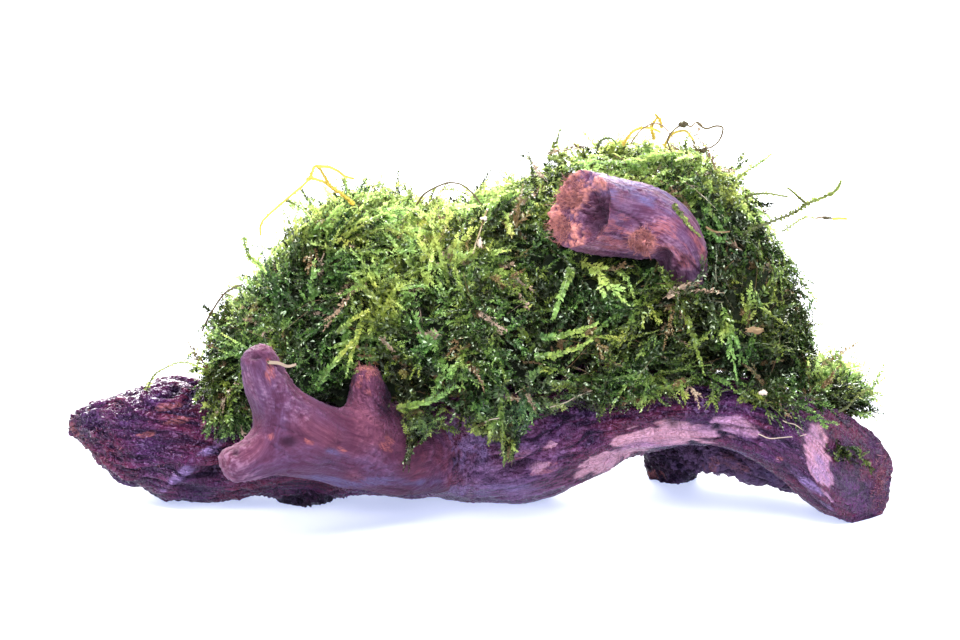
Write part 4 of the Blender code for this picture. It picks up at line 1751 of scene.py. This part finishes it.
        # Near-black freshness: old growth's colour with painted shade of the mound's inside
        dim = np.clip(0.03 + 0.10 * Noise(81)(points, 3.0, 2), 0.0, 1.0)
        still = np.zeros(len(points))
        return Shape(points, faces, {"fresh_and_lit": dim, "dead": still, "wet": still - 1.2})

    def build(self, limbs: list[Limb], around: Neighbourhood, material: Material) -> None:
        """Makes the part's meshes.

        Args:
            limbs: the wood that it grows on.
            around: the other solids.
            material: its finish.
        """
        rng = np.random.default_rng(self.seed)
        portions = [[] for _ in range(self.pieces)]
        for habit in self.layers:
            spots, faced = self.scattered(habit.count * TRIES, rng)
            free = around.gap(spots, self.node) > OFF_SOLIDS
            spots, faced = spots[free][: habit.count], faced[free][: habit.count]
            sprays = self.clear(self.sprays(spots, faced, habit, rng), limbs)
            order = np.argsort(sprays.paths[:, 0, 1], kind="stable")
            for portion, chosen in zip(portions, np.array_split(order, self.pieces)):
                some = sprays.picked(chosen)
                portion.append(some.shape(rng))
                if habit.sides[1]:
                    portion.append(self.side_shoots(some, habit, rng).shape(rng))
        if self.core:
            portions[-1].append(self.mat())
        for portion, side in zip(portions, PORTIONS[self.pieces]):
            name = self.node + side
            keep(put(name, Shape.joined(portion), material, smooth=False), self.slot, self.node)


# The mounds' stations, as in part.py
LEFT_MOUND = (
    (-65.5, 1, 36, 5, 4), (-63, 1, 37.5, 14, 9.5), (-55, 2, 39.5, 22.5, 16.5), (-45, 3, 43, 27.5, 23.5),
    (-33, 4, 46, 31, 28), (-20, 4, 46, 33, 27.5), (-9, 4, 45.5, 32, 26.5), (-1, 4, 45, 27, 22.5),
)
RIGHT_MOUND = (
    (-12, 4, 46, 27, 21.5), (-4, 4, 46.5, 32, 26.2), (6, 4, 49, 33, 27.5), (17, 5, 53.5, 32, 28.5),
    (30, 6, 57, 30.5, 29), (44, 7, 58.5, 30, 29.3), (55, 6, 56.5, 29, 29), (64, 4, 50.5, 27, 25.5),
    (71.5, 2, 45, 23, 21), (76.5, 0, 42, 17, 16), (79, -1, 40, 8, 8),
)


def layers(long: int, short: int, reach: float = 1.0) -> tuple[Habit, ...]:
    """Undergrowth, the main sprays over it, and a few long bright ones on top.

    Args:
        long: how many main sprays.
        short: how many short shoots under them.
        reach: the sprays' lengths, as a share of the usual.

    Returns:
        The three layers.
    """
    longest = (12.0 * reach, 24.0 * reach)
    return (
        Habit(short, (4.5, 9.0), (3.5, 9.0), 0.9, 1.2, (0, 0), 4, 0.2, 0.2, 0.8),
        Habit(long, (7.0 * reach, 17.0 * reach), leaf=1.12, bare=0.07),
        Habit(long // 5, longest, (0.5, 3.0), 0.45, 1.4, (0, 3), 7, 0.34, 0.30, 1.8),
    )


BRIGHT, DEEPER = BRIGHT_MOSS.name, DEEP_MOSS.name
MOSS = (
    MossPart(
        "moss_left_mound", BRIGHT, layers(1150, 1500), tone=-0.02, seed=1, core=LEFT_MOUND, pieces=2
    ),
    MossPart(
        "moss_right_mound", BRIGHT, layers(1400, 1900), tone=-0.02, seed=2, core=RIGHT_MOUND, pieces=3
    ),
    MossPart("moss_toe", BRIGHT, layers(200, 160, 0.7), seed=3, tone=0.06),
    MossPart("moss_left_drape", BRIGHT, layers(100, 60, 0.7), hang=0.6, lift=0.0, seed=4),
    MossPart(
        "moss_front_tuft_left", DEEPER, layers(120, 80, 0.6), hang=0.35, lift=0.0, seed=5, low=13.0
    ),
    MossPart(
        "moss_front_tuft_right", DEEPER, layers(170, 100, 0.5), hang=0.25, lift=0.0, seed=6, low=16.5
    ),
)


@dataclass(frozen=True)
class Fringe:
    """Short sprays that lie over the wood along the mat's lower front edge.

    Attributes:
        name: the piece's name.
        route: pixels along the edge, with a y for where the line of sight meets no solid.
        count: how many sprays.
        long: their least and greatest length.
        spread: how far they spring from the route.
        openings: the places that they keep free.
        tone: what is added to each spray's freshness.
        hang: how far they turn down, in shares of their length.
        sliced: whether they lie on the foot's slice, inside the limb's round outside.

    LIFT is how far in front of the solids they spring, CLEARANCE how far off the wood.
    """

    name: str
    route: tuple[Row, ...]
    count: int
    long: Row = (5.0, 12.0)
    spread: Row = (2.2, 1.2, 1.8)
    openings: tuple[Opening, ...] = OPENINGS
    tone: float = 0.0
    hang: float = 0.45
    sliced: bool = False

    LIFT: ClassVar[float] = 2.0
    CLEARANCE: ClassVar[float] = 0.3
    SEED: ClassVar[int] = 40

    def build(self, limbs: list[Limb], around: Neighbourhood, material: Material) -> None:
        """Makes the fringe with the habit of the short main sprays.

        Args:
            limbs: the wood that it lies on.
            around: the solids that it lies on.
            material: its finish.
        """
        rng = np.random.default_rng(self.SEED)
        habit = Habit(self.count, self.long, (0.3, 1.5), 0.35, 1.1, (0, 3), stray=0.5)
        part = MossPart(self.name, BRIGHT, (habit,), self.hang, 0.0, self.tone, openings=self.openings)
        spots = through(VIEW.at_depth(self.route), rng.random(self.count))
        spots = spots + rng.normal(0.0, 1.0, spots.shape) * self.spread
        spots = around.landed(spots, self.LIFT)
        limbs = [] if self.sliced else limbs
        for limb in limbs:
            spots = spots[limb.local(spots)[0] > self.CLEARANCE]
        faced = unit(rng.normal(0.0, 0.25, spots.shape) + (0.0, -0.8, 0.55))
        sprays = part.clear(part.sprays(spots, faced, habit, rng), limbs)
        shapes = [sprays.shape(rng), part.side_shoots(sprays, habit, rng).shape(rng)]
        keep(put(self.name, Shape.joined(shapes), material, smooth=False), BRIGHT)


FRINGE_LINE = (
    (590, 400, -30), (612, 394, -29), (650, 388, -28), (700, 390, -28), (745, 400, -28),
    (790, 400, -30),
)
SADDLE_LINE = (
    (458, 222, -13), (466, 245, -18), (474, 270, -23), (480, 300, -28), (478, 330, -31),
    (466, 352, -32),
)
FOOT_LINE = ((834, 446, -25), (848, 452, -26), (864, 459, -25))
FRINGES = (
    Fringe("moss_fringe", FRINGE_LINE, 450, (5.5, 13.0), tone=-0.10),
    Fringe("moss_saddle", SADDLE_LINE, 330, (4.0, 10.0), (4.5, 1.5, 2.5), tone=0.03, hang=0.0),
    Fringe(
        "moss_scrap_on_foot", FOOT_LINE, 34, (1.0, 3.4), (1.3, 0.6, 0.8), (), -0.16, sliced=True
    ),
)


class Growth(Enum):
    """What a stray stem is: its width, leaf length, freshness at foot and tip, and deadness."""

    LEAFY = (0.40, 1.3, 0.50, 0.80, 0.0)
    GOLD = (0.90, 0.9, 0.40, 0.50, -0.8)
    GREEN = (0.70, 1.2, 0.40, 0.64, 0.1)
    DARK = (0.62, 0.0, 0.03, 0.08, 0.45)
    HAIR = (0.28, 0.0, 0.1, 0.2, 0.7)
    BROWN = (0.50, 0.0, 0.3, 0.3, 1.0)
    STRAW = (0.27, 0.0, 0.5, 0.5, 1.55)
    RED = (0.55, 0.0, 0.05, 0.05, 0.9)
    SPUR = (0.95, 0.0, 0.5, 0.5, 1.3)


@dataclass(frozen=True)
class StrayStem:
    """A stem that the photograph shows apart from the mat.

    Attributes:
        growth: what it is.
        spots: its route: a pixel's two numbers and the stem's y there. The y of a stem with
            a lift counts only where the line of sight meets no solid.
        leaf: makes its leaves longer or shorter.
        lift: how far it lies off what carries it, for stems that lie on something.
    """

    growth: Growth
    spots: tuple[Row, ...]
    leaf: float = 1.0
    lift: float | None = None


# Each stem's growth and route, and where they differ, how long its leaves are and its lift
STRAYS = tuple(StrayStem(*row) for row in (
    (Growth.GOLD, (
        (354, 205, 2), (344, 196, 2), (330, 186, 1), (317, 165, 0), (308, 181, 0), (286, 200, -1),
        (263, 221, -2), (260, 236, -2),
    )),
    (Growth.GOLD, ((306, 181, 0), (312, 178, 0), (326, 184, 1), (341, 194, 2))),
    (Growth.GOLD, ((317, 165, 0), (334, 169, 0), (346, 176, 1), (354, 179, 1)), 0.6),
    (Growth.LEAFY, ((244, 236, -2), (248, 256, -3), (260, 265, -4), (268, 280, -6))),
    (Growth.LEAFY, ((286, 200, -1), (300, 207, -2), (312, 222, -3)), 0.8),
    (Growth.DARK, ((202, 331, 4), (210, 314, 3), (222, 296, 2), (231, 289, 1), (243, 284, 0))),
    (Growth.HAIR, ((197, 289, 4), (208, 294, 3), (225, 295, 2), (238, 300, 0))),
    (Growth.LEAFY, (
        (146, 391, 5), (152, 378, 2), (161, 370, -1), (182, 362, -4), (202, 368, -4), (218, 382, -6),
    ), 0.7),
    (Growth.HAIR, ((175, 339, 0), (188, 340, -2), (205, 344, -4), (225, 352, -8))),
    (Growth.DARK, (
        (415, 207, 4), (424, 194, 4), (440, 185, 4), (452, 183, 4), (466, 188, 4), (485, 207, 4),
    )),
    (Growth.BROWN, ((488, 208, -16), (483, 222, -19), (478, 238, -22), (473, 254, -24)), 1.0, 2.5),
    (Growth.DARK, ((683, 124, 4), (673, 131, 4), (668, 140, 4), (672, 152, 4))),
    (Growth.RED, ((684, 123, 4), (690, 127, 4), (697, 122, 4), (703, 125, 4))),
    (Growth.HAIR, ((683, 122, 4), (689, 112, 4), (686, 104, 4), (680, 108, 4))),
    (Growth.DARK, (
        (697, 122, 4), (706, 128, 4), (716, 126, 4), (723, 129, 4), (719, 141, 5), (710, 148, 6),
        (701, 149, 6), (696, 160, 6),
    )),
    (Growth.GOLD, ((662, 128, 6), (659, 120, 6), (655, 114, 6))),
    (Growth.GOLD, ((654, 140, 5), (651, 128, 6), (657, 117, 6))),
    (Growth.GOLD, ((622, 146, 4), (632, 132, 4), (646, 128, 4), (660, 133, 4)), 0.8),
    (Growth.BROWN, ((630, 144, 3), (640, 131, 3), (652, 124, 4), (664, 127, 4), (674, 138, 4))),
    (Growth.GOLD, ((664, 146, 5), (672, 134, 5), (684, 131, 5), (694, 140, 5)), 0.7),
    (Growth.GREEN, ((596, 150, 4), (600, 141, 4), (610, 138, 4), (616, 145, 4)), 0.7),
    (Growth.GREEN, (
        (742, 236, -4), (756, 227, -3), (789, 215, 0), (807, 204, 2), (818, 199, 3), (831, 194, 4),
        (838, 187, 4), (840, 182, 4),
    )),
    (Growth.GREEN, ((807, 204, 2), (798, 197, 2), (787, 188, 2)), 0.7),
    (Growth.LEAFY, ((782, 232, 0), (796, 222, 1), (806, 217, 2), (816, 218, 2)), 0.7),
    (Growth.RED, ((816, 218, 2), (824, 217, 2), (832, 219, 2))),
    (Growth.GOLD, ((832, 219, 2), (840, 218, 2), (847, 219, 2)), 0.5),
    (Growth.LEAFY, ((732, 190, 2), (738, 178, 3), (752, 168, 3), (764, 160, 3), (771, 154, 3)), 0.8),
    (Growth.GREEN, ((745, 200, 2), (751, 195, 2), (768, 193, 3), (788, 196, 3)), 0.8),
    (Growth.HAIR, ((806, 326, 0), (815, 320, 0), (830, 306, 1), (841, 293, 1), (849, 287, 1))),
    (Growth.GREEN, (
        (838, 412, -12), (848, 406, -12), (859, 394, -12), (868, 390, -12), (872, 396, -12),
    ), 0.6),
    (Growth.GREEN, ((672, 205, -19), (680, 214, -20), (690, 226, -19), (700, 236, -17)), 1.0, 0.8),
    (Growth.BROWN, ((706, 227, -12), (716, 232, -13), (730, 231, -14)), 1.0, 2.0),
    (Growth.SPUR, ((268, 362, -42.3), (276, 363, -40.6), (286, 366, -39), (296, 364, -37.5))),
    (Growth.STRAW, ((485, 422, -34), (492, 419, -34.5), (500, 418, -34)), 1.0, 1.0),
    (Growth.STRAW, ((550, 407, -33), (564, 403, -33.5), (578, 396, -33), (592, 391, -32)), 1.0, 1.0),
    (Growth.STRAW, ((758, 434, -29), (772, 438, -30), (788, 437, -31), (806, 435, -31)), 1.0, 1.0),
    (Growth.STRAW, ((783, 420, -28), (792, 424, -29), (803, 430, -30)), 1.0, 1.0),
    (Growth.LEAFY, ((572, 268, -33), (567, 280, -35), (560, 298, -36), (553, 318, -34)), 1.35, 3.5),
    (Growth.LEAFY, ((539, 338, -32), (556, 337, -35), (578, 331, -36), (598, 323, -34)), 1.1, 3.5),
    (Growth.LEAFY, ((534, 357, -32), (552, 356, -35), (572, 350, -36), (591, 341, -34)), 1.1, 3.5),
    (Growth.LEAFY, ((396, 409, -37), (416, 405, -39), (438, 397, -38), (457, 387, -35)), 1.2, 3.5),
    (Growth.LEAFY, ((315, 390, -34), (327, 372, -37), (340, 356, -37), (351, 343, -34)), 1.0, 3.5),
    (Growth.LEAFY, ((337, 334, -33), (347, 324, -35), (357, 317, -35), (368, 311, -33)), 1.0, 3.5),
))


@dataclass
class Strays:
    """The stems that stand clear of the mat, and the scraps that lie on it.

    Attributes:
        around: the solids that the lying ones lie on.

    SAMPLES is how many points a stem has, SCRAP_LIFT how far a scrap lies off what carries it,
    and SCRAP_SIDE how many points a scrap has each way.
    """

    SAMPLES: ClassVar[int] = 22
    SCRAP_LIFT: ClassVar[float] = 3.0
    SCRAP_SIDE: ClassVar[int] = 9
    SEED: ClassVar[int] = 9

    around: Neighbourhood

    def route(self, stem: StrayStem) -> Array:
        """The places that a stem passes through."""
        spots = VIEW.at_depth(stem.spots)
        return spots if stem.lift is None else self.around.landed(spots, stem.lift)

    def shoots(self) -> Shoots:
        """Every stray stem, in arrays."""
        share = np.linspace(0.0, 1.0, self.SAMPLES)
        paths = np.stack([through(self.route(stem), share) for stem in STRAYS])
        kinked = Noise(90)(paths.reshape(-1, 3), 3.0)[:, None] * (0.25, 0.25, 0.25)
        looks = np.array([stem.growth.value for stem in STRAYS])
        longer = np.array([stem.leaf for stem in STRAYS])
        facing = np.tile(-VIEW.axes()[2] + (0.25, 0.0, 0.35), (len(STRAYS), 1))
        return Shoots(
            paths + kinked.reshape(paths.shape),
            unit(facing),
            looks[:, 0],
            looks[:, 1] * longer,
            looks[:, 2:4],
            looks[:, 4],
            0.3,
        )

    def scrap(self, spot: Row, size: Row, dead: float) -> Shape:
        """A small curled scrap: a rounded sheet z = c (u^2 - v^2) on a grid, folded by noise.

        Args:
            spot: a pixel, and a y for where the line of sight meets no solid.
            size: its half width and half height.
            dead: how dead it is.

        Returns:
            The scrap.
        """
        steps = np.linspace(-1.0, 1.0, self.SCRAP_SIDE)
        u, v = (w.ravel() for w in np.meshgrid(steps, steps))
        round_u, round_v = u * np.sqrt(1 - v**2 / 2), v * np.sqrt(1 - u**2 / 2)
        notch = 1.0 + 0.55 * Noise(93)(np.stack([u, v, u * 0 + spot[0]], 1), 0.9, 2)
        round_u, round_v = round_u * notch, round_v * notch
        right, up, ahead = VIEW.axes()
        middle = self.around.landed(VIEW.at_depth((spot,)), self.SCRAP_LIFT)
        points = middle + np.outer(round_u * size[0], right)
        points = points + np.outer(round_v * size[1], up)
        fold = 0.5 * (u**2 - v**2) + 0.5 * Noise(91)(points, 1.6)
        points = points - np.outer(fold * min(size), ahead)
        k = np.arange(len(u)).reshape(self.SCRAP_SIDE, self.SCRAP_SIDE)
        a, b, c, d = (x.ravel() for x in (k[:-1, :-1], k[:-1, 1:], k[1:, 1:], k[1:, :-1]))
        faces = np.concatenate([np.stack([a, b, c], 1), np.stack([a, c, d], 1)])
        even = np.ones(len(u))
        return Shape(points, faces, {"fresh_and_lit": even * 0.3, "dead": even * dead, "wet": even * 0.0})

    def pod(self, spot: Row, size: Row) -> Shape:
        """A dark seed-like body: an oval of rings, r = sin(t), roughened by noise.

        Args:
            spot: its pixel's two numbers and its y.
            size: its half width and half height.

        Returns:
            The pod.
        """
        rings, sides = 14, 16
        t = np.linspace(0.15, math.pi - 0.15, rings)[:, None]
        angle = np.linspace(0.0, 2 * math.pi, sides, endpoint=False)[None]
        shell = np.stack(
            [
                -np.cos(t) * size[0] + 0 * angle,
                -np.sin(t) * np.cos(angle) * size[1],
                np.sin(t) * np.sin(angle) * size[1],
            ],
            -1,
        ).reshape(-1, 3)
        ends = np.array([(-size[0], 0.0, 0.0), (size[0], 0.0, 0.0)])
        points = np.concatenate([shell, ends])
        points = points * (1.0 + 0.3 * Noise(92)(points, 1.0, 2)[:, None]) + VIEW.at_depth((spot,))
        even = np.ones(len(points))
        traits = {"fresh_and_lit": even * 0.02, "dead": even * 0.25, "wet": even * 0.7}
        return Shape(points, closed_grid_faces(rings, sides), traits)

    def build(self, material: Material) -> None:
        """Makes the stray stems with the scraps and pods among them."""
        rng = np.random.default_rng(self.SEED)
        shapes = [
            self.shoots().shape(rng, 0.0),
            self.scrap((763, 393, -27), (0.9, 0.6), 1.7),
            self.scrap((755, 330, -26), (2.0, 0.8), 1.0),
            self.scrap((484, 219, -20), (0.8, 0.6), 2.0),
            self.scrap((480, 243, -24), (0.7, 1.3), 1.6),
            self.pod((683, 124, 4), (1.2, 0.9)),
            self.pod((703, 150, 6), (0.9, 0.8)),
            self.pod((827, 218, 2), (1.2, 0.4)),
        ]
        keep(put("moss_stray_stems", Shape.joined(shapes), material, smooth=False), BRIGHT)


@dataclass(frozen=True)
class TornFibres:
    """Short torn fibres on a broken or cut end.

    Attributes:
        limb: the limb's name.
        where: the patch of the photograph that they show in.
        count: how many fibres.
        long: their least and greatest length.
        past: the least distance beyond the limb's last station.

    SAMPLES is how many points a fibre has, FELT how strongly the patch is felt where they stand.
    """

    limb: str
    where: Oval
    count: int
    long: Row
    past: float = -math.inf

    SAMPLES: ClassVar[int] = 3
    FELT: ClassVar[float] = 0.35

    def shape(self, limb: Limb, skin: Shape, rng: Draws) -> Shape:
        """Fibres that lean at random round the skin's own direction.

        Args:
            limb: what they stand on.
            skin: its finished surface.
            rng: draws their variety.

        Returns:
            The fibres.
        """
        normals = vertex_normals(skin.points, skin.faces)
        felt = self.where.weight(skin.points, normals) > self.FELT
        felt &= dot(skin.points - limb.rows[-1, :3], limb.frames[-1, :3]) > self.past
        pick = rng.choice(np.flatnonzero(felt), self.count)
        root = skin.points[pick] - normals[pick] * 0.1
        slant = rng.normal(0.0, 0.6, root.shape) + limb.frames[-1, :3] * 0.3
        way = unit(normals[pick] + slant)
        long = rng.uniform(*self.long, self.count)[:, None]
        bend = rng.normal(0.0, 0.35, root.shape) * long
        paths = np.stack([root, root + way * long * 0.5, root + way * long + bend], 1)
        paths[..., 2] = np.maximum(paths[..., 2], 0.3)
        still = np.zeros((self.count, 2))
        width = rng.uniform(0.12, 0.26, self.count)
        fibres = Shoots(paths, unit(slant), width, still[:, 0], still, still[:, 0])
        shape = fibres.stems()
        even = np.ones(len(shape.points))
        torn = np.repeat(rng.uniform(0.5, 1.0, self.count), 3 * self.SAMPLES)
        shape.traits = {"torn": torn, "height": even * 0.7, "grain": shape.points}
        return shape


FIBRE_SEED = 30
FIBRES = (
    TornFibres("upper_branch", Oval((566, 190), (20, 17)), 420, (0.6, 2.4), -1.5),
    TornFibres("upper_branch", Oval((560, 228), (11, 14)), 260, (0.6, 2.4), -1.5),
    TornFibres("upper_branch", Oval((641, 240), (13, 10)), 480, (0.6, 2.3)),
    TornFibres("left_limb", Oval((110, 398), (12, 8)), 5, (1.0, 2.6)),
    TornFibres("left_limb", Oval((130, 430), (80, 60)), 240, (0.25, 0.7)),
    TornFibres("arch", Oval((874, 450), (8, 9)), 5, (1.0, 2.6)),
    TornFibres("arch", Oval((884, 490), (14, 36)), 260, (0.25, 0.8)),
    TornFibres("fork_side_stub", Oval((366, 370), (13, 8)), 70, (0.4, 1.7), -2.0),
)


# The setting


@dataclass(frozen=True)
class Lamp:
    """A soft square light.

    Attributes:
        name: its name.
        position: where it is, in metres.
        size: its side, in metres.
        power: in watts.
        colour: its colour.
    """

    name: str
    position: Row
    size: float
    power: float
    colour: Colour = (1.0, 1.0, 1.0)

    TARGET: ClassVar[Row] = (0.0, 0.0, 0.04)

    def place(self) -> None:
        """Sets the light, aimed at the object's middle."""
        data = bpy.data.lights.new(self.name, "AREA")
        data.size = self.size
        data.energy = self.power
        data.color = self.colour
        lamp = aimed(self.name, data, Vector(self.position), Vector(self.TARGET))
        lamp.visible_camera = False


LAMPS = (
    Lamp("back", (0.0, 2.2, 1.25), 2.4, 500.0, (1.0, 1.0, 0.96)),
    Lamp("sky", (-0.1, -1.0, 1.3), 1.3, 16.0, (0.76, 0.84, 1.0)),
    Lamp("top_front_left", (-0.45, -0.30, 0.78), 0.26, 6.2, (0.94, 0.92, 1.0)),
    Lamp("top_front", (-0.05, -0.50, 0.78), 0.26, 6.2, (0.94, 0.92, 1.0)),
    Lamp("top_front_right", (0.32, -0.25, 0.85), 0.26, 6.2, (0.94, 0.92, 1.0)),
    Lamp("front", (0.0, -0.95, 0.40), 0.30, 8.5, (0.82, 0.86, 1.0)),
    Lamp("front_left", (-0.5, -0.6, 0.55), 0.12, 1.8, (0.95, 0.95, 1.0)),
    Lamp("front_right", (0.6, -0.5, 0.5), 0.12, 1.8, (0.9, 0.92, 1.0)),
)
SURROUND = (0.80, 0.86, 1.0, 1.0)
SURROUND_STRENGTH = 0.13
FLOOR_COLOUR = (0.42, 0.42, 0.42, 1.0)
FLOOR_GLOW = (0.54, 0.61, 0.88, 1.0)
FLOOR_GLOW_STRENGTH = 0.87
# Half the floor's side, and how far below the feet it lies
FLOOR_REACH = 3000.0
FLOOR_DROP = 0.05


def build_setting() -> None:
    """The glowing floor, the pale surround, the lights and the camera."""
    g = Graph("floor")
    inputs = {"Base Color": FLOOR_COLOUR, "Roughness": 0.9, "Emission Color": FLOOR_GLOW}
    inputs["Emission Strength"] = FLOOR_GLOW_STRENGTH
    shader = g.node("ShaderNodeBsdfPrincipled", None, inputs)
    corners = np.array([(-1, -1), (1, -1), (1, 1), (-1, 1)]) * FLOOR_REACH
    points = np.column_stack([corners, np.full(4, -FLOOR_DROP)])
    floor = put("floor", Shape(points, np.array([(0, 1, 2), (0, 2, 3)]), {}), g.show(shader))
    world = bpy.data.worlds.new("surround")
    world.use_nodes = True
    background = world.node_tree.nodes["Background"].inputs
    background["Color"].default_value = SURROUND
    background["Strength"].default_value = SURROUND_STRENGTH
    bpy.context.scene.world = world
    bpy.context.scene.view_settings.view_transform = "Standard"
    for lamp in LAMPS:
        lamp.place()
    VIEW.place_camera()


def main() -> None:
    """Builds the finishes, the wood, the moss and the setting, in that order."""
    materials = {finish.name: finish.build() for finish in (BRIGHT_MOSS, DEEP_MOSS)}
    for finish in (WET_WOOD, SMOOTH_BRANCH, DARK_BARK):
        materials[finish.name] = finish.build(SMOOTH_BRANCH if finish is WET_WOOD else WET_WOOD)
    limbs = driftwood()
    named = {limb.name: limb for limb in limbs}
    skins = {}
    for limb in limbs:
        skins[limb.name] = limb.shape([named[name] for name in limb.meets])
        keep(put(limb.node, skins[limb.name], materials[limb.finish]), limb.finish, limb.node)
    rng = np.random.default_rng(FIBRE_SEED)
    for name in dict.fromkeys(fibres.limb for fibres in FIBRES):
        limb = named[name]
        torn = [f.shape(limb, skins[name], rng) for f in FIBRES if f.limb == name]
        made = put(limb.node + "_fibres", Shape.joined(torn), materials[limb.finish])
        keep(made, limb.finish)
    around = Neighbourhood()
    for part in MOSS:
        part.build(limbs, around, materials[part.slot])
    for fringe in FRINGES:
        fringe.build(limbs, around, materials[BRIGHT])
    Strays(around).build(materials[BRIGHT])
    build_setting()


if __name__ == "__main__":
    logging.basicConfig(level=logging.INFO, format="%(message)s")
    main()
